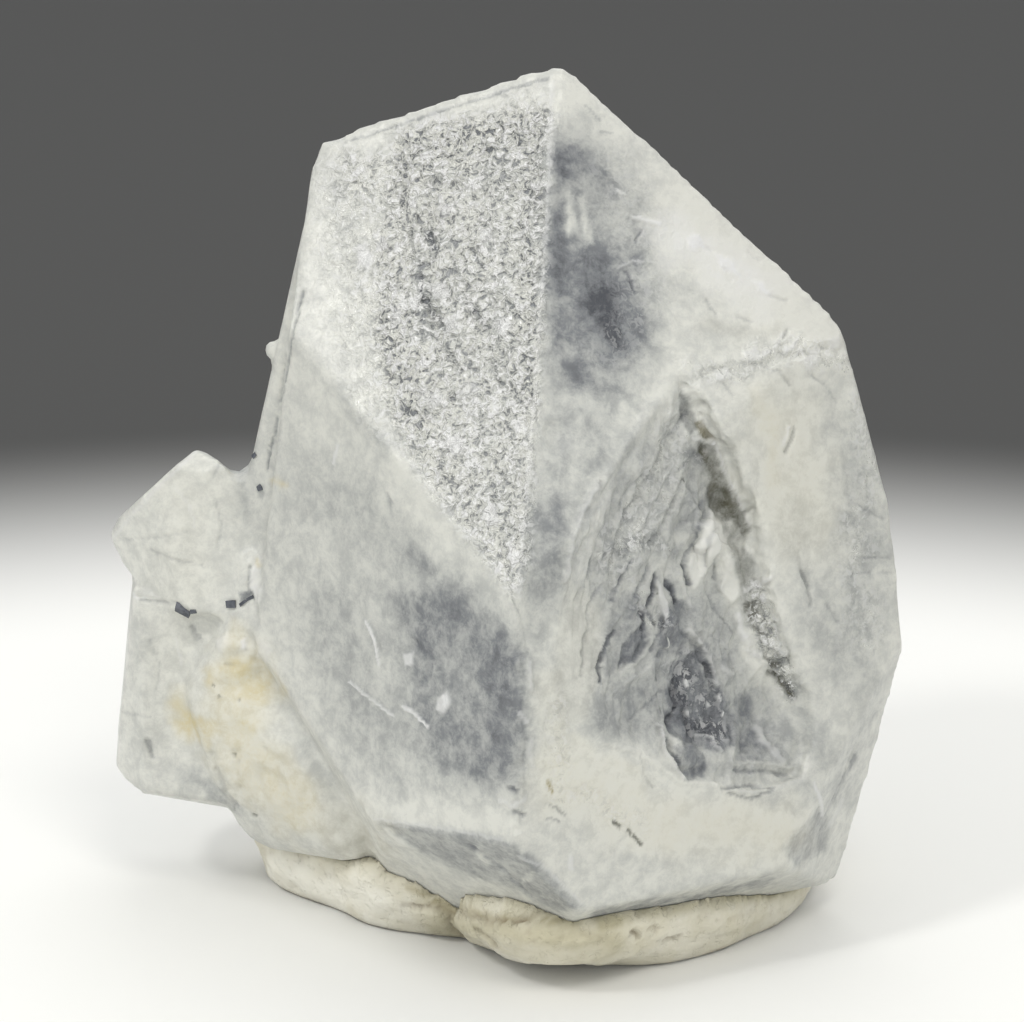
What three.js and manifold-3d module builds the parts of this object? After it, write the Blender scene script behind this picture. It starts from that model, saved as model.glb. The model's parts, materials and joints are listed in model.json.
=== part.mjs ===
// A blunt quartz crystal with two small side crystals, standing in a lump of soft putty.
// Sizes are in millimetres, +Z is up, and the broad front of the crystal looks towards -Y.
import * as THREE from 'three';
import { ConvexGeometry } from 'three/addons/geometries/ConvexGeometry.js';
import { mergeVertices } from 'three/addons/utils/BufferGeometryUtils.js';
import Module from 'manifold-3d';

// Driving dimensions.
const BLOCK = 60;             // raw block that the faces are cut from, larger than the specimen
const GAP = 0.3;              // clearance between the crystals and the putty
const CRACK_WIDTH = 0.3;      // open crack between the big crystal and the slab behind its left edge
const PUTTY = { x: 0, y: 4.5, girthHeight: 3.3, domeHeight: 3.8 };

// A face is given by the way it looks: azimuth in degrees from the front (-Y) towards +X, tilt in
// degrees upwards, and reach in millimetres from the centre of its own crystal.
const CRYSTAL_CENTRE = [0, 0, 0];
const CRYSTAL_FACES = {
  leftPyramid: { azimuth: -23, tilt: 35, reach: 23.4 },
  rightPyramid: { azimuth: 25, tilt: 31.5, reach: 21.4 },
  ridgeBevel: { azimuth: -32, tilt: 48, reach: 31.2 },
  backLeftPyramid: { azimuth: 191, tilt: 43, reach: 31.5 },
  backRightPyramid: { azimuth: 124, tilt: 39, reach: 28.85 },
  leftPrism: { azimuth: -46, tilt: 3, reach: 12.1 },
  rightPlate: { azimuth: 35, tilt: 11, reach: 14.0 },
  lowFront: { azimuth: 29, tilt: 0, reach: 11.9 },
  lowRight: { azimuth: 60, tilt: -13, reach: 12.1 },
  rightShoulder: { azimuth: 95, tilt: 15, reach: 21.8 },
  rightSide: { azimuth: 99, tilt: 5, reach: 18.4 },
  rightHeel: { azimuth: 118, tilt: -10, reach: 12.5 },
  leftSide: { azimuth: -92, tilt: 7, reach: 16.6 },
  lowLeft: { azimuth: -68, tilt: -24, reach: 6.9 },
  undercutLeft: { azimuth: -38, tilt: -39, reach: 4.0 },
  undercutRight: { azimuth: 28, tilt: -51, reach: 3.4 },
  backRight: { azimuth: 152, tilt: 3, reach: 16.0 },
  backLeft: { azimuth: 203, tilt: 4, reach: 15.5 },
  backFlank: { azimuth: 251, tilt: 2, reach: 14.5 },
  rootLeft: { azimuth: 215, tilt: -38, reach: 9.5 },
  rootRight: { azimuth: 150, tilt: -36, reach: 10.0 },
  root: { azimuth: 0, tilt: -90, reach: -1.8 },
};

// The small crystal that juts out at the left, and the greyer block below it.
const UPPER_CENTRE = [-18.2, 4.6, 19.0];
const UPPER_FACES = {
  front: { azimuth: -6, tilt: 12, reach: 3.5 },
  frontLeft: { azimuth: -46, tilt: -6, reach: 3.3 },
  tip: { azimuth: -88, tilt: -2, reach: 4.5 },
  roofLeft: { azimuth: -104, tilt: 46, reach: 3.1 },
  roofRight: { azimuth: 112, tilt: 44, reach: 3.4 },
  crest: { azimuth: -10, tilt: 66, reach: 4.9 },
  underLeft: { azimuth: -78, tilt: -38, reach: 3.95 },
  under: { azimuth: -10, tilt: -72, reach: 4.2 },
  back: { azimuth: 172, tilt: 12, reach: 3.1 },
  backRoof: { azimuth: 150, tilt: 50, reach: 3.9 },
  joined: { azimuth: 90, tilt: 0, reach: 6.2 },
};
const LOWER_CENTRE = [-18.2, 4.8, 9.8];
const LOWER_FACES = {
  front: { azimuth: -14, tilt: 4, reach: 3.7 },
  frontLeft: { azimuth: -50, tilt: 2, reach: 4.1 },
  left: { azimuth: -86, tilt: 7, reach: 4.0 },
  backLeft: { azimuth: -125, tilt: -5, reach: 4.8 },
  heel: { azimuth: -84, tilt: -40, reach: 5.7 },
  sole: { azimuth: -80, tilt: -72, reach: 5.2 },
  frontSole: { azimuth: -20, tilt: -64, reach: 5.4 },
  backSole: { azimuth: 180, tilt: -50, reach: 5.1 },
  top: { azimuth: 0, tilt: 90, reach: 6.4 },
  back: { azimuth: 175, tilt: 3, reach: 3.8 },
  joined: { azimuth: 90, tilt: 0, reach: 6.2 },
};

// The thin slab that grew along the left back edge, thickening downwards.
const SLAB_CENTRE = [-12.2, 4, 28];
const SLAB_FACES = {
  outside: { azimuth: -92, tilt: 13, reach: 1.75 },
  front: { azimuth: -35, tilt: 6, reach: 3.35 },
  top: { azimuth: -80, tilt: 62, reach: 8.2 },
  back: { azimuth: 176, tilt: 6, reach: 4.2 },
  foot: { azimuth: 0, tilt: -90, reach: 9 },
  joined: { azimuth: 90, tilt: 0, reach: 1.2 },
};

// The milky mass at the left: balls whose hulls, group by group, make its rounded body.
const MILKY_BALLS = {
  crown: { at: [-15.0, 0.9, 18.4], radius: 0.9 },
  neck: { at: [-15.3, 0.7, 15.0], radius: 1.3 },
  shoulder: { at: [-16.4, 1.5, 11.6], radius: 2.3 },
  belly: { at: [-15.5, 1.4, 8.2], radius: 2.5 },
  foot: { at: [-13.8, 1.8, 5.3], radius: 2.6 },
  toe: { at: [-10.4, -1.8, 5.6], radius: 2.1 },
  lap: { at: [-12.2, -1.6, 9.2], radius: 1.4 },
  nape: { at: [-15.0, 5.4, 20.4], radius: 1.5 },
  back: { at: [-14.6, 6.2, 12.0], radius: 2.4 },
};
const MILKY_HULLS = [
  ['crown', 'neck'],
  ['neck', 'shoulder'],
  ['shoulder', 'belly', 'lap'],
  ['belly', 'foot', 'toe', 'lap'],
  ['nape', 'back', 'shoulder'],
];
const NUB = { at: [-13.9, 3.0, 29.0], radius: 0.5 };

// How far the putty reaches from its middle, every 30 degrees from the front (-Y) towards +X:
// its print on the table, and its girth at its widest.
const PUTTY_PRINT = [11.5, 13.2, 13.6, 13.8, 12.8, 11.6, 11.0, 11.5, 13.0, 14.8, 11.8, 10.0];
const PUTTY_GIRTH = [16.7, 14.2, 14.2, 14.3, 13.4, 12.2, 11.6, 12.2, 13.8, 15.7, 12.7, 11.8];
const PUTTY_CREASES = [
  { azimuth: -27, width: 4, deep: 0.45 },
  { azimuth: -15, width: 3, deep: 0.25 },
  { azimuth: 50, width: 7, deep: 0.3 },
  { azimuth: 165, width: 9, deep: 0.5 },
];

// The broken hollow in the front: its floor, and its outline on that floor in millimetres.
const RECESS_FLOOR = { azimuth: 40, tilt: 13, reach: 13.95 };
const RECESS_OUTLINE = [
  [1.6, 27.4], [2.6, 26.0], [3.0, 24.4], [3.9, 23.4], [4.3, 21.4], [4.9, 19.2], [4.4, 17.8],
  [5.1, 15.6], [5.3, 13.5], [6.2, 10.8], [6.3, 8.0], [5.4, 6.6], [2.4, 6.6], [-1.3, 8.0],
  [-4.0, 10.1], [-6.5, 10.8], [-8.6, 12.2], [-8.9, 14.4], [-8.0, 16.8], [-6.6, 20.0],
  [-4.6, 22.6], [-2.2, 24.6], [0.2, 26.2],
];

// Shell-shaped flakes knocked out of the hollow, on its floor: where, half length, half width,
// depth, and how far the long way leans to the right of upright in degrees.
const HOLLOW_FLAKES = [
  { u: -0.6, v: 22.0, long: 4.4, wide: 2.2, deep: 0.35, lean: 34 },
  { u: -3.4, v: 20.0, long: 4.8, wide: 1.6, deep: 0.32, lean: 28 },
  { u: -5.6, v: 17.2, long: 4.8, wide: 1.4, deep: 0.3, lean: 18 },
  { u: -4.0, v: 15.6, long: 4.2, wide: 1.3, deep: 0.45, lean: 20 },
  { u: -2.0, v: 16.8, long: 4.4, wide: 1.4, deep: 0.55, lean: 20 },
  { u: 0.7, v: 17.8, long: 4.2, wide: 1.7, deep: 0.6, lean: 8 },
  { u: 2.9, v: 20.4, long: 3.6, wide: 1.2, deep: 0.75, lean: -20 },
  { u: 2.7, v: 15.0, long: 4.2, wide: 1.7, deep: 0.65, lean: -18 },
  { u: 0.2, v: 12.4, long: 3.4, wide: 2.8, deep: 0.85, lean: -24 },
  { u: 3.6, v: 10.6, long: 3.2, wide: 2.2, deep: 0.7, lean: -32 },
  { u: -3.0, v: 12.2, long: 2.6, wide: 2.2, deep: 0.4, lean: 40 },
];

// Shards left standing in the hollow, on its floor.
const HOLLOW_SHARDS = [
  { u: 2.1, v: 19.3, long: 1.9, wide: 0.6, deep: 0.55, lean: -10 },
  { u: 3.6, v: 17.7, long: 1.2, wide: 0.4, deep: 0.5, lean: -14 },
  { u: -1.5, v: 14.8, long: 1.9, wide: 0.28, deep: 0.4, lean: 14 },
];

// Chips and scars on the outer faces, in the face's own millimetres.
const SCARS = [
  { face: 'leftPyramid', u: -8.4, v: 25.8, long: 1.1, wide: 0.55, deep: 0.22, lean: 12 },
  { face: 'leftPyramid', u: -6.8, v: 24.4, long: 0.8, wide: 0.45, deep: 0.2, lean: -20 },
  { face: 'leftPyramid', u: -5.0, v: 26.2, long: 1.5, wide: 0.3, deep: 0.28, lean: -32 },
  { face: 'leftPyramid', u: -3.9, v: 23.4, long: 1.7, wide: 0.4, deep: 0.32, lean: -30 },
  { face: 'leftPyramid', u: -0.9, v: 22.6, long: 1.0, wide: 0.28, deep: 0.2, lean: -36 },
  { face: 'leftPyramid', u: -2.2, v: 18.6, long: 0.8, wide: 0.35, deep: 0.2, lean: 40 },
  { face: 'leftPrism', u: -0.6, v: 16.2, long: 0.75, wide: 0.2, deep: 0.16, lean: -24 },
  { face: 'leftPrism', u: 2.0, v: 17.1, long: 0.5, wide: 0.25, deep: 0.16, lean: -18 },
  { face: 'leftPrism', u: 1.4, v: 14.6, long: 0.8, wide: 0.2, deep: 0.16, lean: -38 },
  { face: 'leftPrism', u: 3.9, v: 14.6, long: 0.55, wide: 0.3, deep: 0.18, lean: 8 },
  { face: 'leftPrism', u: -1.6, v: 14.6, long: 0.6, wide: 0.16, deep: 0.14, lean: -30 },
  { face: 'lowFront', u: -6.7, v: 11.6, long: 0.7, wide: 0.22, deep: 0.25, lean: -28 },
  { face: 'lowFront', u: -2.5, v: 8.9, long: 1.0, wide: 0.2, deep: 0.3, lean: -48 },
  { face: 'rightPlate', u: 7.5, v: 24.2, long: 0.8, wide: 0.2, deep: 0.2, lean: 8 },
  { face: 'rightPlate', u: 7.9, v: 17.2, long: 1.5, wide: 0.22, deep: 0.2, lean: -14 },
  { face: 'rightPyramid', u: -2.2, v: 22.4, long: 0.7, wide: 0.45, deep: 0.2, lean: -30 },
  { face: 'rightPyramid', u: -3.6, v: 19.8, long: 1.1, wide: 0.7, deep: 0.22, lean: 10 },
  { face: 'lowRight', u: 4.7, v: 12.6, long: 1.6, wide: 0.3, deep: 0.22, lean: 24 },
];

// Rows of small notches: along the ragged front seam, and down the torn lower part of the step.
const SEAM = { from: [-1.75, -13.9, 21.0], to: [-1.95, -14.75, 9.9], count: 14, size: 0.42 };
const TORN_STEP = { from: [5.0, 18.8], to: [7.2, 10.4], count: 11, size: 0.62 };
const GROWTH_LEDGES = { from: [12.3, 22.4], to: [12.7, 16.8], count: 6, long: 1.5, size: 0.24 };
const ETCH_PITS = { count: 64, small: 0.2, large: 0.42, seed: 7 };
// Corners of the glittering part of the left pyramid face, where the etch pits are.
const ETCH_AREA = [[-7.0, 31.5], [-1.6, 34.4], [0.6, 25.0], [3.2, 12.6], [0.4, 13.4], [-5.6, 20.4]];

const COLOURS = { crystal: 0xb9bcb9, putty: 0xd3cfbb };

const wasm = await Module();
wasm.setup();

const radians = THREE.MathUtils.degToRad;

// A closed geometry as a solid that can be joined and cut.
function solidOf(geometry) {
  const bare = geometry.clone();
  bare.deleteAttribute('normal');
  bare.deleteAttribute('uv');
  const merged = mergeVertices(bare, 1e-4);
  const vertProperties = new Float32Array(merged.attributes.position.array);
  const triVerts = new Uint32Array(merged.index.array);
  return new wasm.Manifold(new wasm.Mesh({ numProp: 3, vertProperties, triVerts }));
}

// The flat-shaded geometry of a solid.
function geometryOf(solid) {
  const { vertProperties, triVerts } = solid.getMesh();
  const geometry = new THREE.BufferGeometry();
  geometry.setAttribute('position', new THREE.Float32BufferAttribute(Array.from(vertProperties), 3));
  geometry.setIndex(Array.from(triVerts));
  const flat = geometry.toNonIndexed();
  flat.computeVertexNormals();
  return flat;
}

// A repeatable stream of numbers from 0 to 1.
function numberStream(seed) {
  let state = seed;
  return () => {
    state = (state * 16807) % 2147483647;
    return state / 2147483647;
  };
}

// The frame of a face: X runs to the right in the face, Y up in it, Z straight out of it.
function faceFrame({ azimuth, tilt, reach }, centre = CRYSTAL_CENTRE) {
  const a = radians(azimuth);
  const t = radians(tilt);
  const out = new THREE.Vector3(Math.sin(a) * Math.cos(t), -Math.cos(a) * Math.cos(t), Math.sin(t));
  const across = new THREE.Vector3(Math.cos(a), Math.sin(a), 0);
  const up = new THREE.Vector3().crossVectors(out, across);
  const origin = new THREE.Vector3(...centre).addScaledVector(out, reach);
  return new THREE.Matrix4().makeBasis(across, up, out).setPosition(origin);
}

// Everything on the outer side of a face.
function beyondFace(face, centre, grow = 0) {
  const slab = new THREE.BoxGeometry(5 * BLOCK, 5 * BLOCK, 3 * BLOCK);
  slab.translate(0, 0, 1.5 * BLOCK + grow);
  slab.applyMatrix4(faceFrame(face, centre));
  return solidOf(slab);
}

// A crystal cut from a block by its faces, each pushed outwards by grow.
function cutCrystal(faces, centre, grow = 0) {
  const block = new THREE.BoxGeometry(2 * BLOCK, 2 * BLOCK, 2 * BLOCK);
  block.translate(...centre);
  return Object.values(faces).reduce(
    (solid, face) => solid.subtract(beyondFace(face, centre, grow)),
    solidOf(block),
  );
}

// A place on a face: across and up in millimetres, raised by lift, with the long way leaning right.
function placeOn(face, { u, v, lean = 0 }, lift = 0) {
  const spin = new THREE.Matrix4().makeRotationZ(-radians(lean));
  const local = new THREE.Matrix4().makeTranslation(u, v, lift).multiply(spin);
  return faceFrame(face).multiply(local);
}

// A shallow shell-shaped cut: a flattened ball that floats above the face and dips into it.
function flakeCut(face, flake, sides, rings) {
  const thick = flake.deep * 2.4;
  const rim = Math.sqrt(1 - ((thick - flake.deep) / thick) ** 2);
  const ball = new THREE.SphereGeometry(1, sides, rings);
  ball.rotateX(Math.PI / 2);
  ball.scale(flake.wide / rim, flake.long / rim, thick);
  ball.applyMatrix4(placeOn(face, flake, thick - flake.deep));
  return solidOf(ball);
}

// A small angular chip, a flattened octahedron that bites into the face.
function chipCut(face, chip) {
  const stone = new THREE.OctahedronGeometry(1);
  stone.scale(chip.wide, chip.long, chip.deep);
  stone.applyMatrix4(placeOn(face, chip));
  return solidOf(stone);
}

// The broken hollow: its outline carried outwards from the floor, then the flakes.
function recessCut() {
  const outline = new THREE.Shape(RECESS_OUTLINE.map(([u, v]) => new THREE.Vector2(u, v)));
  const plug = new THREE.ExtrudeGeometry(outline, { depth: 6, bevelEnabled: false });
  plug.applyMatrix4(faceFrame(RECESS_FLOOR));
  const hollow = HOLLOW_FLAKES.reduce(
    (cut, flake) => cut.add(flakeCut(RECESS_FLOOR, flake, 16, 8)),
    solidOf(plug),
  );
  return HOLLOW_SHARDS.reduce((cut, shard) => cut.subtract(chipCut(RECESS_FLOOR, shard)), hollow);
}

// Whether a point lies inside a closed outline.
function inside([x, y], outline) {
  let within = false;
  outline.forEach(([x1, y1], i) => {
    const [x2, y2] = outline[(i + 1) % outline.length];
    const crosses = (y1 > y) !== (y2 > y) && x < ((x2 - x1) * (y - y1)) / (y2 - y1) + x1;
    within = crosses ? !within : within;
  });
  return within;
}

// The etch pits that make the left pyramid face glitter.
function etchPitCuts() {
  const next = numberStream(ETCH_PITS.seed);
  const cuts = [];
  while (cuts.length < ETCH_PITS.count) {
    const u = -8 + 12 * next();
    const v = 12 + 23 * next();
    const size = ETCH_PITS.small + (ETCH_PITS.large - ETCH_PITS.small) * next() ** 2;
    const lean = -40 + 30 * next();
    if (inside([u, v], ETCH_AREA)) {
      const pit = { u, v, long: size * 1.5, wide: size * 0.8, deep: size * 0.5, lean };
      cuts.push(chipCut(CRYSTAL_FACES.leftPyramid, pit));
    }
  }
  return cuts;
}

// Notches of uneven size along the ragged seam between the left prism face and the low front.
function seamCuts() {
  const next = numberStream(11);
  const from = new THREE.Vector3(...SEAM.from);
  const to = new THREE.Vector3(...SEAM.to);
  return Array.from({ length: SEAM.count }, (_, i) => {
    const at = from.clone().lerp(to, (i + 0.2 + 0.6 * next()) / SEAM.count);
    const size = SEAM.size * (0.6 + 0.7 * next());
    const notch = new THREE.OctahedronGeometry(size);
    notch.scale(1.1, 1.1, 0.75);
    notch.rotateX(next() * Math.PI);
    notch.rotateY(next() * Math.PI);
    notch.translate(at.x + 0.5 * (next() - 0.5), at.y, at.z);
    return solidOf(notch);
  });
}

// A torn row of notches where the step of the right plate dies out, and the ledges at its far edge.
function plateCuts() {
  const next = numberStream(23);
  const rows = [
    { ...TORN_STEP, long: TORN_STEP.size, lean: () => 50 + 40 * next(), jitter: 0.5 },
    { ...GROWTH_LEDGES, lean: () => 62 + 14 * next(), jitter: 0.2 },
  ];
  return rows.flatMap(({ from, to, count, long, size, lean, jitter }) =>
    Array.from({ length: count }, (_, i) => {
      const t = (i + 0.5) / count;
      const u = THREE.MathUtils.lerp(from[0], to[0], t) + jitter * (next() - 0.5);
      const v = THREE.MathUtils.lerp(from[1], to[1], t);
      const chip = { u, v, long: long * (0.8 + 0.5 * next()), wide: size * 0.55, deep: size * 0.8 };
      return chipCut(CRYSTAL_FACES.rightPlate, { ...chip, lean: lean() });
    }),
  );
}

// The open crack between the big crystal's left side and the slab.
function crackCut() {
  const side = CRYSTAL_FACES.leftSide;
  const faces = {
    outer: { ...side, reach: side.reach + CRACK_WIDTH },
    inner: { azimuth: side.azimuth + 180, tilt: -side.tilt, reach: -side.reach + 0.05 },
    front: { azimuth: 0, tilt: 0, reach: 3.5 },
    depth: { azimuth: 180, tilt: 0, reach: 2.4 },
    top: { azimuth: 0, tilt: 90, reach: 33.5 },
    foot: { azimuth: 0, tilt: -90, reach: -21.6 },
  };
  return cutCrystal(faces, CRYSTAL_CENTRE);
}

// A ball of the milky mass, slightly uneven, pushed outwards by grow.
function milkyBall({ at, radius }, grow) {
  const ball = new THREE.IcosahedronGeometry(1, 2);
  const place = ball.attributes.position;
  const point = new THREE.Vector3();
  for (let i = 0; i < place.count; i += 1) {
    point.fromBufferAttribute(place, i);
    const wave = Math.sin(3.1 * point.x + at[2]) * Math.sin(3.7 * point.y - at[0]);
    point.multiplyScalar(radius * (1 + 0.06 * wave) + grow);
    place.setXYZ(i, point.x + at[0], point.y + at[1], point.z + at[2]);
  }
  return ball;
}

// One rounded body round a group of balls.
function milkyHull(names, grow) {
  const points = names.flatMap((name) => {
    const place = milkyBall(MILKY_BALLS[name], grow).attributes.position;
    return Array.from({ length: place.count }, (_, i) => new THREE.Vector3().fromBufferAttribute(place, i));
  });
  return solidOf(new ConvexGeometry(points));
}

// The slab, kept under the pyramid faces of the big crystal.
function slabSolid(grow) {
  const sunk = grow - 0.3;
  return cutCrystal(SLAB_FACES, SLAB_CENTRE, grow)
    .subtract(beyondFace(CRYSTAL_FACES.leftPyramid, CRYSTAL_CENTRE, sunk))
    .subtract(beyondFace(CRYSTAL_FACES.backLeftPyramid, CRYSTAL_CENTRE, sunk));
}

// Every crystal and the milky mass, before the small cuts, pushed outwards by grow.
function grownMass(grow = 0) {
  const pieces = [
    cutCrystal(CRYSTAL_FACES, CRYSTAL_CENTRE, grow),
    cutCrystal(UPPER_FACES, UPPER_CENTRE, grow),
    cutCrystal(LOWER_FACES, LOWER_CENTRE, grow),
    slabSolid(grow),
    ...MILKY_HULLS.map((names) => milkyHull(names, grow)),
  ];
  return pieces.reduce((all, piece) => all.add(piece));
}

function quartzCrystals() {
  const cuts = [
    crackCut(),
    recessCut(),
    ...SCARS.map((scar) => flakeCut(CRYSTAL_FACES[scar.face], scar, 8, 6)),
    ...etchPitCuts(),
    ...seamCuts(),
    ...plateCuts(),
  ];
  const whole = grownMass().add(solidOf(milkyBall(NUB, 0)));
  return cuts.reduce((solid, cut) => solid.subtract(cut), whole);
}

// A radius read from a list given at equal steps round the putty.
function radiusAt(radii, azimuth) {
  const place = ((azimuth / 360) * radii.length + radii.length) % radii.length;
  const i = Math.floor(place);
  const blend = 0.5 - 0.5 * Math.cos(Math.PI * (place - i));
  return THREE.MathUtils.lerp(radii[i % radii.length], radii[(i + 1) % radii.length], blend);
}

// How far the putty reaches, looked from its middle, at a height.
function puttyReach(azimuth, height) {
  const rise = Math.sin((Math.min(height / PUTTY.girthHeight, 1) * Math.PI) / 2);
  const plain = THREE.MathUtils.lerp(
    radiusAt(PUTTY_PRINT, azimuth),
    radiusAt(PUTTY_GIRTH, azimuth),
    rise,
  );
  return PUTTY_CREASES.reduce((reach, crease) => {
    const off = ((azimuth - crease.azimuth + 540) % 360) - 180;
    return reach - crease.deep * Math.exp(-((off / crease.width) ** 2));
  }, plain);
}

// The putty: a low rounded dome with an uneven print, its top pressed into the crystals.
function puttyBase() {
  const side = [0, 0.3, 0.9, 1.8].map((z) => new THREE.Vector2(z === 0 ? 0.985 : 1, z));
  const dome = Array.from({ length: 9 }, (_, i) => {
    const a = (i / 8) * (Math.PI / 2);
    return new THREE.Vector2(i === 8 ? 0 : Math.cos(a), PUTTY.girthHeight + PUTTY.domeHeight * Math.sin(a));
  });
  const body = new THREE.LatheGeometry([new THREE.Vector2(0, 0), ...side, ...dome], 80);
  body.rotateX(Math.PI / 2);
  const place = body.attributes.position;
  for (let i = 0; i < place.count; i += 1) {
    const [x, y, z] = [place.getX(i), place.getY(i), place.getZ(i)];
    const azimuth = THREE.MathUtils.radToDeg(Math.atan2(x, -y));
    const reach = puttyReach(azimuth, z);
    place.setXYZ(i, PUTTY.x + x * reach, PUTTY.y + y * reach, z);
  }
  return solidOf(body).subtract(grownMass(GAP));
}

function mesh(name, solid, colour, roughness) {
  const material = new THREE.MeshStandardMaterial({ color: colour, roughness, metalness: 0 });
  const piece = new THREE.Mesh(geometryOf(solid), material);
  piece.name = name;
  return piece;
}

const specimen = new THREE.Group();
specimen.add(mesh('quartz_crystals', quartzCrystals(), COLOURS.crystal, 0.35));
specimen.add(mesh('putty_base', puttyBase(), COLOURS.putty, 0.9));

// The origin is in the middle of the specimen's print, on the table.
const bounds = new THREE.Box3().setFromObject(specimen);
const middle = bounds.getCenter(new THREE.Vector3());
specimen.position.set(-middle.x, -middle.y, -bounds.min.z);

export default specimen;
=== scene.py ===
"""Looks of the quartz specimen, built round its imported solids.

Shapes are worked out in millimetres in the big crystal's own frame, as the solids are, and are
turned into metres in the shared frame when a piece is finished. A mark on the surface, such as a
cloud, a scratch or a stain, is placed by the photograph's pixels: each vertex of the skin is looked
up at the pixel where the photograph's camera sees it.
"""

from __future__ import annotations

import json
import logging
import math
import random
from dataclasses import dataclass, field
from enum import Enum
from functools import cached_property

import bmesh
import bpy
import numpy as np
from mathutils import Matrix, Vector, noise
from mathutils.bvhtree import BVHTree

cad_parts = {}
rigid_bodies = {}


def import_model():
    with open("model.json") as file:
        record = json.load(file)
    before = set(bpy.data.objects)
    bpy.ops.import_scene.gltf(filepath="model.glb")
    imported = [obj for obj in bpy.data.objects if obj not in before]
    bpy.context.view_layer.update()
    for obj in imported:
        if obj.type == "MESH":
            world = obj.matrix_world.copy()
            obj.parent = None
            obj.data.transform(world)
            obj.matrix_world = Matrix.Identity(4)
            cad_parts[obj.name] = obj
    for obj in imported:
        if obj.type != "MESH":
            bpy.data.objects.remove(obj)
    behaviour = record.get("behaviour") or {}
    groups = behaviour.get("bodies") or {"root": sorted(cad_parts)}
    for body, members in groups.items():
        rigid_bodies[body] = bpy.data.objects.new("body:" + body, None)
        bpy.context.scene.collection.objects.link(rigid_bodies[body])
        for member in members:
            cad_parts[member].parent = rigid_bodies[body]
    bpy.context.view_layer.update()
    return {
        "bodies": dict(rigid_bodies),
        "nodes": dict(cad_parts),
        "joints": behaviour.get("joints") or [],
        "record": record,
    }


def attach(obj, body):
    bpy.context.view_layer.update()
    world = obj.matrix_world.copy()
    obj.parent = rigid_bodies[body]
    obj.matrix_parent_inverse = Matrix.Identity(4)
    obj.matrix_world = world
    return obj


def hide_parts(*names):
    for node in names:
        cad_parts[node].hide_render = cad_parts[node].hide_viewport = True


LOG = logging.getLogger("quartz_specimen")

MM = 0.001
# From the big crystal's own axis to the middle of the whole specimen's outline, in millimetres.
AXIS_TO_MIDDLE = Vector((2.6105, -1.2230, 0.0))

Pixel = tuple[float, float]
Colour = tuple[float, float, float]


class Slot(Enum):
    """The record's material slots."""

    QUARTZ = "quartz"
    PUTTY = "putty"
    DARK_MINERAL = "dark_mineral"


class Layer(Enum):
    """What a mark lays on the skin. Each is kept as an attribute of the same name."""

    CLEAR = "clear"
    STAIN = "stain"
    OLIVE = "olive"
    WHITE = "white"
    FROST = "frost"
    SUGAR = "sugar"


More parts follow.
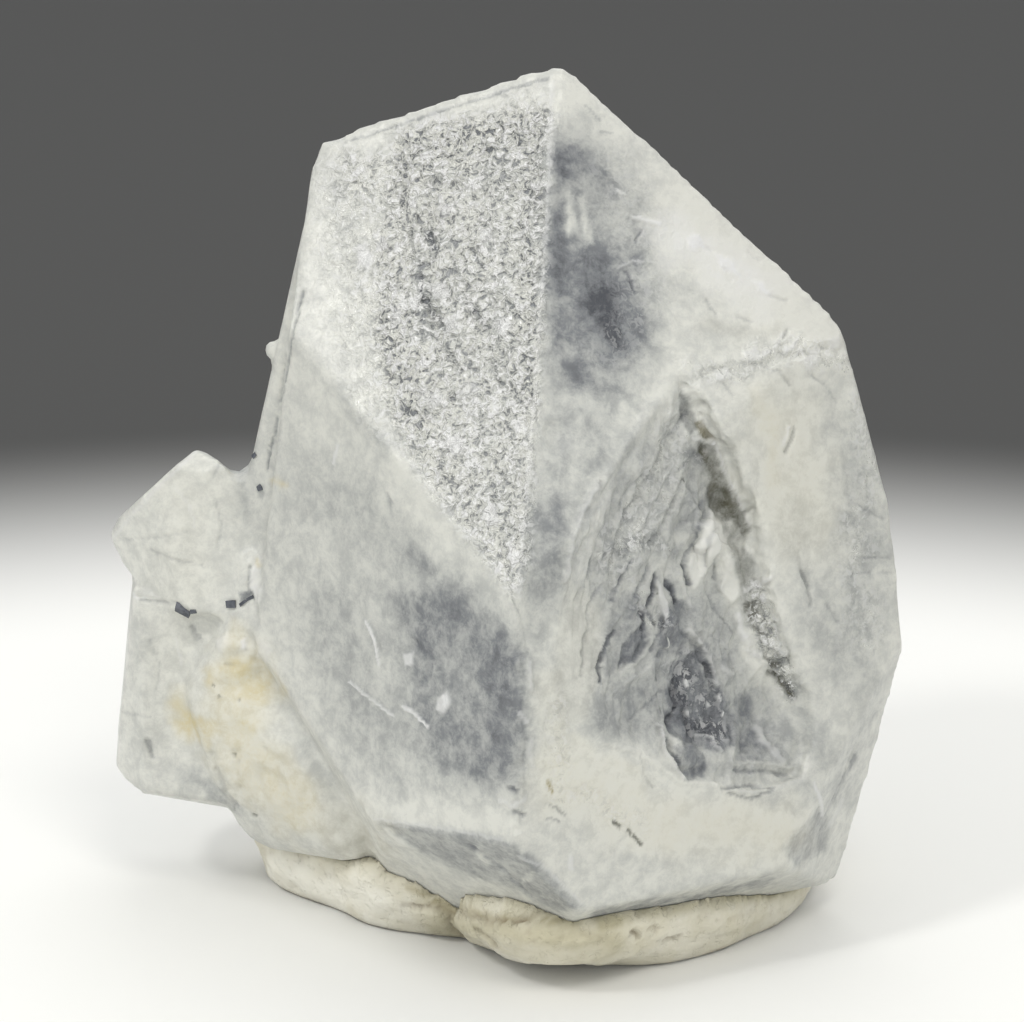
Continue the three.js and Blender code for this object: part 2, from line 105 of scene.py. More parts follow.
@dataclass(frozen=True)
class PhotoCamera:
    """The camera that took the photograph, in the crystal's frame."""

    centre: Pixel = (512.0, 511.0)
    pixel: float = 0.05
    distance: float = 220.0
    elevation: float = 18.0
    target: tuple[float, float, float] = (-2.0, 0.0, 21.5)
    picture_width: float = 1024.0
    sensor: float = 36.0

    def axes(self) -> tuple[Vector, Vector, Vector]:
        """Gives the camera's right, up and backward directions.

        Returns:
            Three unit vectors in the crystal's frame.
        """
        lean = math.radians(self.elevation)
        up = Vector((0.0, math.sin(lean), math.cos(lean)))
        back = Vector((0.0, -math.cos(lean), math.sin(lean)))
        return Vector((1.0, 0.0, 0.0)), up, back

    def eye(self) -> Vector:
        """Gives the camera's place in the crystal's frame, in millimetres."""
        return Vector(self.target) + self.axes()[2] * self.distance

    def ray(self, pixel: Pixel) -> Vector:
        """Gives the direction in which a pixel looks.

        Args:
            pixel: Place in the photograph, from its upper left corner.

        Returns:
            A unit vector from the camera's eye.
        """
        right, up, _ = self.axes()
        across = (pixel[0] - self.centre[0]) * self.pixel
        above = (self.centre[1] - pixel[1]) * self.pixel
        seen = Vector(self.target) + right * across + up * above
        return (seen - self.eye()).normalized()

    def touch(self, pixel: Pixel, skin: BVHTree) -> tuple[Vector, Vector]:
        """Finds where a pixel's ray first meets a skin.

        Args:
            pixel: Place in the photograph.
            skin: Search tree of the surface.

        Returns:
            The place, and the surface's direction there.

        Raises:
            ValueError: If the ray misses the skin by more than a little.
        """
        ray = self.ray(pixel)
        place, out, _, _ = skin.ray_cast(self.eye(), ray)
        if place is None:
            beside = self.eye() + ray * self.distance
            place, out, _, gap = skin.find_nearest(beside)
            if gap > 12.0:
                raise ValueError(f"pixel {pixel} doesn't show the specimen")
        return place, out

    def picture(self, places: np.ndarray) -> np.ndarray:
        """Gives the pixels at which places are seen.

        Args:
            places: Places in millimetres, one row each.

        Returns:
            A pixel for each place.
        """
        right, up, back = (np.array(axis) for axis in self.axes())
        from_eye = places - np.array(self.eye())
        scale = self.distance / self.pixel / -(from_eye @ back)
        across = self.centre[0] + (from_eye @ right) * scale
        down = self.centre[1] - (from_eye @ up) * scale
        return np.stack([across, down], axis=1)

    def facing(self, places: np.ndarray, outs: np.ndarray) -> np.ndarray:
        """Gives how squarely a surface faces the camera.

        Args:
            places: Places in millimetres, one row each.
            outs: Directions out of the surface there.

        Returns:
            The cosine of the angle for each place, below 0 where it faces away.
        """
        to_eye = np.array(self.eye()) - places
        to_eye /= np.linalg.norm(to_eye, axis=1)[:, None]
        return np.sum(outs * to_eye, axis=1)

    def build(self) -> bpy.types.Object:
        """Makes the camera and gives it to the scene.

        Returns:
            The camera object.
        """
        data = bpy.data.cameras.new("photo_camera")
        data.sensor_width = self.sensor
        data.lens = self.sensor * self.distance / (self.picture_width * self.pixel)
        data.clip_start = 0.005
        data.clip_end = 10.0
        right, up, back = self.axes()
        turn = Matrix((right, up, back)).transposed().to_4x4()
        camera = bpy.data.objects.new("photo_camera", data)
        camera.matrix_world = Matrix.Translation((self.eye() + AXIS_TO_MIDDLE) * MM) @ turn
        bpy.context.scene.collection.objects.link(camera)
        bpy.context.scene.camera = camera
        return camera


@dataclass(frozen=True)
class CrystalFace:
    """A flat face: the way it looks, and how far it lies from the crystal's centre."""

    azimuth: float
    tilt: float
    reach: float

    def axes(self) -> tuple[Vector, Vector, Vector]:
        """Gives the directions across, up in and straight out of the face."""
        a, t = math.radians(self.azimuth), math.radians(self.tilt)
        out = Vector((math.sin(a) * math.cos(t), -math.cos(a) * math.cos(t), math.sin(t)))
        across = Vector((math.cos(a), math.sin(a), 0.0))
        return across, out.cross(across), out


RIGHT_PYRAMID = CrystalFace(25, 31.5, 21.4)
RIGHT_PLATE = CrystalFace(35, 11, 14.0)
LOW_FRONT = CrystalFace(29, 0, 11.9)
HOLLOW_FLOOR = CrystalFace(40, 13, 13.95)


class Edge(Enum):
    """How a mark ends at its sides."""

    CRISP = "crisp"
    SOFT = "soft"
    FILLED = "filled"


@dataclass(frozen=True)
class Mark:
    """A mark along a line, or inside an outline, of the photograph's pixels.

    Width is in pixels: a line's own width, or the width over which a filled mark fades at its
    sides. Lift is in millimetres out of the surface. The other values say how much of each layer
    the mark lays down, and a negative one takes it away.
    """

    path: tuple[Pixel, ...]
    width: float
    edge: Edge
    clear: float = 0.0
    stain: float = 0.0
    olive: float = 0.0
    white: float = 0.0
    frost: float = 0.0
    sugar: float = 0.0
    lift: float = 0.0

    def amount(self, layer: Layer) -> float:
        """Gives how much of a layer the mark lays down."""
        return getattr(self, layer.value)


def stroke(*path: Pixel, width: float, **layers: float) -> Mark:
    """Makes a line with clean sides, such as a scratch.

    Args:
        path: Pixels that it runs through.
        width: Full width in pixels.
        layers: What it lays down.

    Returns:
        The mark.
    """
    return Mark(path, width, Edge.CRISP, **layers)


def cloud(*path: Pixel, width: float, **layers: float) -> Mark:
    """Makes a line with soft wandering sides, such as a milky cloud.

    Args:
        path: Pixels that it runs through.
        width: Full width in pixels.
        layers: What it lays down.

    Returns:
        The mark.
    """
    return Mark(path, width, Edge.SOFT, **layers)


def facet(*outline: Pixel, fade: float = 4.0, **layers: float) -> Mark:
    """Makes a filled mark, such as a broken facet.

    Args:
        outline: Pixels at its corners.
        fade: Width over which it fades at its sides.
        layers: What it lays down.

    Returns:
        The mark.
    """
    return Mark(outline, fade, Edge.FILLED, **layers)


def smooth_step(low: float, high: float, values: np.ndarray) -> np.ndarray:
    """Rises smoothly from 0 at low to 1 at high.

    Args:
        low: Where it leaves 0.
        high: Where it reaches 1.
        values: Numbers to turn into shares.

    Returns:
        Shares from 0 to 1.
    """
    share = np.clip((values - low) / (high - low), 0.0, 1.0)
    return share * share * (3.0 - 2.0 * share)


def noise_at(points: np.ndarray, wave: float, seed: float, octaves: int = 3) -> np.ndarray:
    """Gives smooth noise at many points.

    Args:
        points: Places in millimetres, one row each.
        wave: Size of the largest lumps in millimetres.
        seed: Moves the pattern, so that two patterns differ.
        octaves: How many finer layers it has.

    Returns:
        Values of about -1 to 1, one for each point.
    """
    moved = points / wave + seed
    return np.array([noise.fractal(Vector(p), 1.0, 2.1, octaves) for p in moved])


def ridges_at(points: np.ndarray, wave: float, seed: float) -> np.ndarray:
    """Gives noise with sharp crests, 0 in its troughs and about 1 on its crests.

    Args:
        points: Places in millimetres, one row each.
        wave: Distance between crests in millimetres.
        seed: Moves the pattern.

    Returns:
        One value for each point.
    """
    moved = points / wave + seed
    return np.array([1.0 - abs(2.0 * noise.noise(Vector(p))) for p in moved])


class Skin:
    """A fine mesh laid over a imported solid, to be marked, worn and dressed."""

    def __init__(self, node: bpy.types.Object, voxel: float, sharp: float) -> None:
        """Lays the fine mesh over a node.

        Args:
            node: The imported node's object, which stays as it is.
            voxel: Size of the fine mesh's faces in millimetres.
            sharp: Least angle in degrees of an edge that is kept, or 0 for none.
        """
        self.name = node.name
        coarse = bmesh.new()
        coarse.from_mesh(node.data)
        coarse.transform(Matrix.Translation(-AXIS_TO_MIDDLE) @ Matrix.Scale(1.0 / MM, 4))
        bmesh.ops.remove_doubles(coarse, verts=coarse.verts, dist=0.001)
        self.solid = BVHTree.FromBMesh(coarse)
        self.edges = self._sharp_edges(coarse, sharp)
        self.bm = self._remeshed(coarse, voxel)
        coarse.free()
        self.snap()
        self.layers: dict[Layer, np.ndarray] = {}

    def _sharp_edges(self, coarse: bmesh.types.BMesh, sharp: float) -> tuple[np.ndarray, np.ndarray]:
        """Lists the solid's sharp edges.

        Args:
            coarse: The solid.
            sharp: Least angle in degrees of an edge that counts, or 0 for none.

        Returns:
            The places where they start, and those where they end.
        """
        least = math.radians(sharp) if sharp else math.inf
        kept = [e for e in coarse.edges if len(e.link_faces) == 2 and e.calc_face_angle() > least]
        starts = np.array([e.verts[0].co for e in kept]).reshape(-1, 3)
        ends = np.array([e.verts[1].co for e in kept]).reshape(-1, 3)
        return starts, ends

    def _remeshed(self, coarse: bmesh.types.BMesh, voxel: float) -> bmesh.types.BMesh:
        """Turns the solid's long triangles into small even faces.

        Args:
            coarse: The solid.
            voxel: Size of the new faces.

        Returns:
            The fine mesh.
        """
        data = bpy.data.meshes.new("coarse_skin")
        coarse.to_mesh(data)
        helper = bpy.data.objects.new("coarse_skin", data)
        bpy.context.scene.collection.objects.link(helper)
        remesh = helper.modifiers.new("even", "REMESH")
        remesh.mode = "VOXEL"
        remesh.voxel_size = voxel
        remesh.adaptivity = 0.0
        graph = bpy.context.evaluated_depsgraph_get()
        fine = bmesh.new()
        fine.from_object(helper, graph)
        bpy.data.objects.remove(helper)
        bpy.data.meshes.remove(data)
        return fine

    def snap(self) -> None:
        """Puts every vertex on the solid, and those beside a sharp edge on that edge."""
        for vert in self.bm.verts:
            vert.co = self.solid.find_nearest(vert.co)[0]
        starts, ends = self.edges
        if len(starts):
            self._snap_to_edges(starts, ends)

    def _snap_to_edges(self, starts: np.ndarray, ends: np.ndarray) -> None:
        """Moves vertices that lie beside a sharp edge onto it.

        Args:
            starts: Where the edges start.
            ends: Where they end.
        """
        places = self.points()
        reach = np.array([0.55 * np.mean([e.calc_length() for e in v.link_edges]) for v in self.bm.verts])
        best = reach.copy()
        target = places.copy()
        for start, end in zip(starts, ends):
            low, high = np.minimum(start, end) - 0.3, np.maximum(start, end) + 0.3
            near = np.flatnonzero(np.all((places > low) & (places < high), axis=1))
            along = end - start
            length = float(along @ along)
            if not len(near) or length < 1e-8:
                continue
            t = np.clip((places[near] - start) @ along / length, 0.0, 1.0)
            foot = start + t[:, None] * along
            gap = np.linalg.norm(places[near] - foot, axis=1)
            closer = gap < best[near]
            best[near[closer]] = gap[closer]
            target[near[closer]] = foot[closer]
        for vert, place in zip(self.bm.verts, target):
            vert.co = Vector(place)

    def refine(self, wanted: np.ndarray) -> None:
        """Halves the faces of some places.

        Args:
            wanted: True for each vertex whose faces are halved.
        """
        self.bm.verts.index_update()
        chosen = {f for f in self.bm.faces if any(wanted[v.index] for v in f.verts)}
        edges = list({e for f in chosen for e in f.edges})
        bmesh.ops.subdivide_edges(self.bm, edges=edges, cuts=1, use_grid_fill=True)
        self.snap()

    def soften(self, times: int, factor: float, chosen: np.ndarray | None = None) -> None:
        """Rounds the mesh a little.

        Args:
            times: How often.
            factor: How far each vertex goes towards its neighbours each time.
            chosen: True for each vertex that may move, or None for all.
        """
        verts = list(self.bm.verts)
        if chosen is not None:
            verts = [v for v, move in zip(verts, chosen) if move]
        for _ in range(times):
            bmesh.ops.smooth_vert(
                self.bm,
                verts=verts,
                factor=factor,
                use_axis_x=True,
                use_axis_y=True,
                use_axis_z=True,
            )

    def beside_edges(self, sharp: float) -> np.ndarray:
        """Tells which vertices lie on or next to a sharp edge of the skin.

        Args:
            sharp: Least angle in degrees of an edge that counts.

        Returns:
            True for each such vertex.
        """
        self.bm.normal_update()
        self.bm.verts.index_update()
        least = math.radians(sharp)
        found = np.zeros(len(self.bm.verts), dtype=bool)
        for edge in self.bm.edges:
            if edge.calc_face_angle(0.0) > least:
                for vert in edge.verts:
                    found[[other.index for near in vert.link_edges for other in near.verts]] = True
        return found

    def points(self) -> np.ndarray:
        """Gives every vertex's place in millimetres, one row each."""
        return np.array([v.co for v in self.bm.verts])

    def outs(self) -> np.ndarray:
        """Gives the direction out of the skin at every vertex, one row each."""
        self.bm.normal_update()
        return np.array([v.normal for v in self.bm.verts])

    def lift(self, height: np.ndarray) -> None:
        """Moves every vertex straight out of the skin.

        Args:
            height: How far in millimetres, one value for each vertex.
        """
        for vert, out, up in zip(self.bm.verts, self.outs(), height):
            vert.co += Vector(out) * float(up)

    def tree(self) -> BVHTree:
        """Gives a search tree of the skin as it is now."""
        return BVHTree.FromBMesh(self.bm)

    def finish(self, name: str, material: bpy.types.Material) -> bpy.types.Object:
        """Turns the skin into a piece in metres in the shared frame.

        Args:
            name: The piece's name.
            material: Its finish.

        Returns:
            The piece, which replaces the node.
        """
        self.bm.transform(Matrix.Scale(MM, 4) @ Matrix.Translation(AXIS_TO_MIDDLE))
        data = bpy.data.meshes.new(name)
        self.bm.to_mesh(data)
        self.bm.free()
        data.polygons.foreach_set("use_smooth", [True] * len(data.polygons))
        for layer, values in self.layers.items():
            made = data.attributes.new(layer.value, "FLOAT", "POINT")
            made.data.foreach_set("value", values.astype(np.float32))
        data.materials.append(material)
        piece = bpy.data.objects.new(name, data)
        bpy.context.scene.collection.objects.link(piece)
        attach(piece, "root")
        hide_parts(self.name)
        LOG.info("%s has %d faces", name, len(data.polygons))
        return piece


class Marker:
    """Lays marks on the side of a skin that the photograph shows."""

    def __init__(self, skin: Skin, camera: PhotoCamera) -> None:
        """Gets ready to mark a skin.

        Args:
            skin: The skin to mark.
            camera: The photograph's camera.
        """
        self.places = skin.points()
        self.outs = skin.outs()
        self.seen = camera.picture(self.places)
        self.shown = smooth_step(0.02, 0.2, camera.facing(self.places, self.outs))

    @cached_property
    def sway(self) -> np.ndarray:
        """How clouds stray at each vertex."""
        return self._wander(1.5, (3.1, 17.7))

    @cached_property
    def shake(self) -> np.ndarray:
        """How every mark's sides shake at each vertex."""
        return self._wander(0.4, (7.9, 23.3))

    def _wander(self, wave: float, seeds: tuple[float, float]) -> np.ndarray:
        """Gives how marks stray at each vertex, in the picture's two directions."""
        return np.stack([noise_at(self.places, wave, seed, 2) for seed in seeds], axis=1)

    def share(self, mark: Mark) -> np.ndarray:
        """Gives how strongly a mark lies on each vertex.

        Args:
            mark: The mark.

        Returns:
            Shares from 0 to 1, one for each vertex.
        """
        path = np.array(mark.path)
        low, high = path.min(axis=0) - mark.width - 8.0, path.max(axis=0) + mark.width + 8.0
        near = np.flatnonzero(np.all((self.seen > low) & (self.seen < high), axis=1))
        share = np.zeros(len(self.places))
        if not len(near):
            return share
        stray = self.shake[near] * min(2.5, 0.35 * mark.width)
        if mark.edge is Edge.SOFT:
            stray = stray + self.sway[near] * min(16.0, 0.3 * mark.width)
        pixels = self.seen[near] + stray
        closed = mark.edge is Edge.FILLED
        gap = self._distance(pixels, path, closed)
        if closed:
            inside = np.where(self._within(pixels, path), gap, -gap)
            found = smooth_step(-0.5 * mark.width, 0.5 * mark.width, inside)
        else:
            steep = 0.6 if mark.edge is Edge.CRISP else 1.0
            found = smooth_step(0.0, steep, 1.0 - gap / (0.5 * mark.width))
        share[near] = found * self.shown[near]
        return share

    def _distance(self, pixels: np.ndarray, path: np.ndarray, closed: bool) -> np.ndarray:
        """Gives the distance from pixels to a line.

        Args:
            pixels: The pixels, one row each.
            path: The line's corners.
            closed: Whether it returns to its start.

        Returns:
            The distance in pixels, one for each pixel.
        """
        ends = np.roll(path, -1, axis=0)
        count = len(path) if closed else max(len(path) - 1, 1)
        gap = np.full(len(pixels), np.inf)
        for start, end in zip(path[:count], ends[:count]):
            along = end - start
            length = max(float(along @ along), 1e-9)
            t = np.clip((pixels - start) @ along / length, 0.0, 1.0)
            gap = np.minimum(gap, np.linalg.norm(pixels - start - t[:, None] * along, axis=1))
        return gap

    def _within(self, pixels: np.ndarray, outline: np.ndarray) -> np.ndarray:
        """Tells which pixels lie inside an outline.

        Args:
            pixels: The pixels, one row each.
            outline: The outline's corners.

        Returns:
            True for each pixel inside.
        """
        inside = np.zeros(len(pixels), dtype=bool)
        x, y = pixels[:, 0], pixels[:, 1]
        for (x0, y0), (x1, y1) in zip(outline, np.roll(outline, -1, axis=0)):
            if y0 != y1:
                crosses = (y0 > y) != (y1 > y)
                inside ^= crosses & (x < (x1 - x0) * (y - y0) / (y1 - y0) + x0)
        return inside

    def lay(self, marks: dict[str, Mark]) -> tuple[dict[Layer, np.ndarray], np.ndarray]:
        """Adds marks up.

        Args:
            marks: Each mark under its name.

        Returns:
            The sum of each layer, and how far the skin is lifted, for each vertex.
        """
        layers = {layer: np.zeros(len(self.places)) for layer in Layer}
        height = np.zeros(len(self.places))
        for mark in marks.values():
            share = self.share(mark)
            height += mark.lift * share
            for layer in Layer:
                amount = mark.amount(layer)
                if amount:
                    layers[layer] += amount * share
        return layers, height

    def beside(self, marks: dict[str, Mark], reach: float) -> np.ndarray:
        """Tells which vertices lie on or beside the clean-sided marks.

        Args:
            marks: Each mark under its name.
            reach: How far beside them counts, in pixels.

        Returns:
            True for each such vertex.
        """
        found = np.zeros(len(self.places), dtype=bool)
        for mark in marks.values():
            if mark.edge is Edge.SOFT:
                continue
            path = np.array(mark.path)
            wide = reach + (0.5 * mark.width if mark.edge is Edge.CRISP else 0.0)
            low, high = path.min(axis=0) - wide, path.max(axis=0) + wide
            near = np.flatnonzero(np.all((self.seen > low) & (self.seen < high), axis=1))
            closed = mark.edge is Edge.FILLED
            found[near] |= self._distance(self.seen[near], path, closed) < wide
        return found & (self.shown > 0.05)


class Tree:
    """A short way to add shader nodes and to join them."""

    def __init__(self, tree: bpy.types.NodeTree) -> None:
        """Takes a node tree to work on."""
        self.tree = tree

    def add(self, kind: str, **settings: object) -> bpy.types.Node:
        """Adds a node.

        Args:
            kind: The node's type.
            settings: Its properties.

        Returns:
            The node.
        """
        node = self.tree.nodes.new(kind)
        for name, value in settings.items():
            setattr(node, name, value)
        return node

    def give(self, socket: bpy.types.NodeSocket, value: object) -> None:
        """Joins an output to a socket, or sets the socket's own value."""
        if isinstance(value, bpy.types.NodeSocket):
            self.tree.links.new(value, socket)
        elif isinstance(value, tuple) and len(value) == 3 and socket.type == "RGBA":
            socket.default_value = (*value, 1.0)
        else:
            socket.default_value = value

    def math(self, operation: str, a: object, b: object = 0.0, clamp: bool = False) -> bpy.types.NodeSocket:
        """Adds a sum of one or two numbers.

        Args:
            operation: The sum, such as MULTIPLY.
            a: First number or output.
            b: Second number or output.
            clamp: Whether the result stays from 0 to 1.

        Returns:
            The result.
        """
        node = self.add("ShaderNodeMath", operation=operation, use_clamp=clamp)
        self.give(node.inputs[0], a)
        self.give(node.inputs[1], b)
        return node.outputs[0]

    def vector(self, operation: str, a: object, b: object) -> bpy.types.NodeSocket:
        """Adds a sum of two vectors, such as ADD or MULTIPLY."""
        node = self.add("ShaderNodeVectorMath", operation=operation)
        self.give(node.inputs[0], a)
        self.give(node.inputs[1], b)
        return node.outputs[0]

    def between(self, value: object, low: float, high: float) -> bpy.types.NodeSocket:
        """Adds a smooth rise from 0 at low to 1 at high."""
        node = self.add("ShaderNodeMapRange", interpolation_type="SMOOTHSTEP")
        self.give(node.inputs["Value"], value)
        self.give(node.inputs["From Min"], low)
        self.give(node.inputs["From Max"], high)
        return node.outputs["Result"]

    def mix(self, share: object, a: object, b: object, blend: str = "MIX") -> bpy.types.NodeSocket:
        """Adds a mix of two colours.

        Args:
            share: How much of the second colour there is.
            a: First colour.
            b: Second colour.
            blend: How they mix.

        Returns:
            The colour.
        """
        node = self.add("ShaderNodeMix", data_type="RGBA", blend_type=blend)
        self.give(node.inputs["Factor"], share)
        self.give(node.inputs[6], a)
        self.give(node.inputs[7], b)
        return node.outputs[2]

    def ramp(self, value: object, stops: tuple[tuple[float, Colour], ...]) -> bpy.types.NodeSocket:
        """Adds a run of colours.

        Args:
            value: Where along the run.
            stops: Each place and its colour.

        Returns:
            The colour.
        """
        node = self.add("ShaderNodeValToRGB")
        points = node.color_ramp.elements
        while len(points) < len(stops):
            points.new(1.0)
        for point, (place, colour) in zip(points, stops):
            point.position = place
            point.color = (*colour, 1.0)
        self.give(node.inputs[0], value)
        return node.outputs["Color"]

    def noise(
        self,
        place: object,
        scale: object,
        detail: float = 4.0,
        rough: float = 0.55,
        warp: float = 0.0,
    ) -> bpy.types.NodeSocket:
        """Adds a noise of values from 0 to 1.

        Args:
            place: Where it is read.
            scale: Lumps a millimetre.
            detail: How many finer layers it has.
            rough: How strong they are.
            warp: How much it folds.

        Returns:
            The value.
        """
        node = self.add("ShaderNodeTexNoise")
        self.give(node.inputs["Vector"], place)
        self.give(node.inputs["Scale"], scale)
        self.give(node.inputs["Detail"], detail)
        self.give(node.inputs["Roughness"], rough)
        self.give(node.inputs["Distortion"], warp)
        return node.outputs["Fac"]

    def layer(self, layer: Layer) -> bpy.types.NodeSocket:
        """Adds a layer that the marks laid on the skin."""
        return self.add("ShaderNodeAttribute", attribute_name=layer.value).outputs["Fac"]

    def millimetres(self) -> bpy.types.NodeSocket:
        """Adds the object's own coordinates, in millimetres."""
        node = self.add("ShaderNodeMapping")
        self.give(node.inputs["Scale"], (1.0 / MM, 1.0 / MM, 1.0 / MM))
        self.give(node.inputs["Vector"], self.add("ShaderNodeTexCoord").outputs["Object"])
        return node.outputs[0]

    def group(self, group: bpy.types.NodeTree, **inputs: object) -> bpy.types.Node:
        """Adds a shared effect.

        Args:
            group: The effect.
            inputs: Its values, with _ for a space in their names.

        Returns:
            The group's node.
        """
        node = self.add("ShaderNodeGroup")
        node.node_tree = group
        for name, value in inputs.items():
            self.give(node.inputs[name.replace("_", " ")], value)
        return node

    def bump(
        self, height: object, strength: float, deep: float, below: object = None
    ) -> bpy.types.NodeSocket:
        """Adds fine relief.

        Args:
            height: The relief, from 0 to 1.
            strength: How much of it shows.
            deep: Its depth in millimetres.
            below: The normal that it lies on.

        Returns:
            The normal.
        """
        node = self.add("ShaderNodeBump")
        self.give(node.inputs["Strength"], strength)
        self.give(node.inputs["Distance"], deep * MM)
        self.give(node.inputs["Height"], height)
        if below is not None:
            self.give(node.inputs["Normal"], below)
        return node.outputs["Normal"]


def new_group(name: str, inputs: dict[str, float], outputs: tuple[str, ...]) -> tuple[Tree, dict, dict]:
    """Starts a shared effect.

    Args:
        name: Its name.
        inputs: Its numbers and their usual values.
        outputs: What it gives out, as numbers.

    Returns:
        The tree to fill, its inputs by name, and the sockets that take its outputs.
    """
    group = bpy.data.node_groups.new(name, "ShaderNodeTree")
    group.interface.new_socket("Place", in_out="INPUT", socket_type="NodeSocketVector")
    for label, usual in inputs.items():
        made = group.interface.new_socket(label, in_out="INPUT", socket_type="NodeSocketFloat")
        made.default_value = usual
    for label in outputs:
        group.interface.new_socket(label, in_out="OUTPUT", socket_type="NodeSocketFloat")
    tree = Tree(group)
    start = tree.add("NodeGroupInput")
    end = tree.add("NodeGroupOutput")
    taken = {label: start.outputs[label] for label in ("Place", *inputs)}
    given = {label: end.inputs[label] for label in outputs}
    return tree, taken, given


@dataclass
class Effects:
    """The effects that several finishes share, each built once."""

    mottle: bpy.types.NodeTree = field(init=False)
    grit: bpy.types.NodeTree = field(init=False)

    def __post_init__(self) -> None:
        """Builds both effects."""
        self.mottle = self._mottle()
        self.grit = self._grit()

    def _mottle(self) -> bpy.types.NodeTree:
        """Builds uneven patches with feathery edges."""
        tree, take, give = new_group("mottle", {"Scale": 0.5, "Feather": 0.6}, ("Patches",))
        lumps = tree.noise(take["Place"], take["Scale"], 4.0, take["Feather"], 0.2)
        tree.give(give["Patches"], tree.between(lumps, 0.3, 0.7))
        return tree.tree

    def _grit(self) -> bpy.types.NodeTree:
        """Builds fine grain with a few pits in it."""
        tree, take, give = new_group("grit", {"Scale": 4.0, "Pits": 0.3}, ("Height",))
        grain = tree.noise(take["Place"], take["Scale"], 3.0, 0.6)
        holes = tree.math("SUBTRACT", 1.0, tree.between(grain, 0.34, 0.44))
        sunk = tree.math("MULTIPLY", holes, take["Pits"])
        tree.give(give["Height"], tree.math("SUBTRACT", grain, sunk))
        return tree.tree


def new_material(name: str) -> tuple[bpy.types.Material, Tree, bpy.types.Node]:
    """Starts a material.

    Args:
        name: Its name.

    Returns:
        The material, its tree and its shader.
    """
    material = bpy.data.materials.new(name)
    material.use_nodes = True
    shader = material.node_tree.nodes["Principled BSDF"]
    return material, Tree(material.node_tree), shader


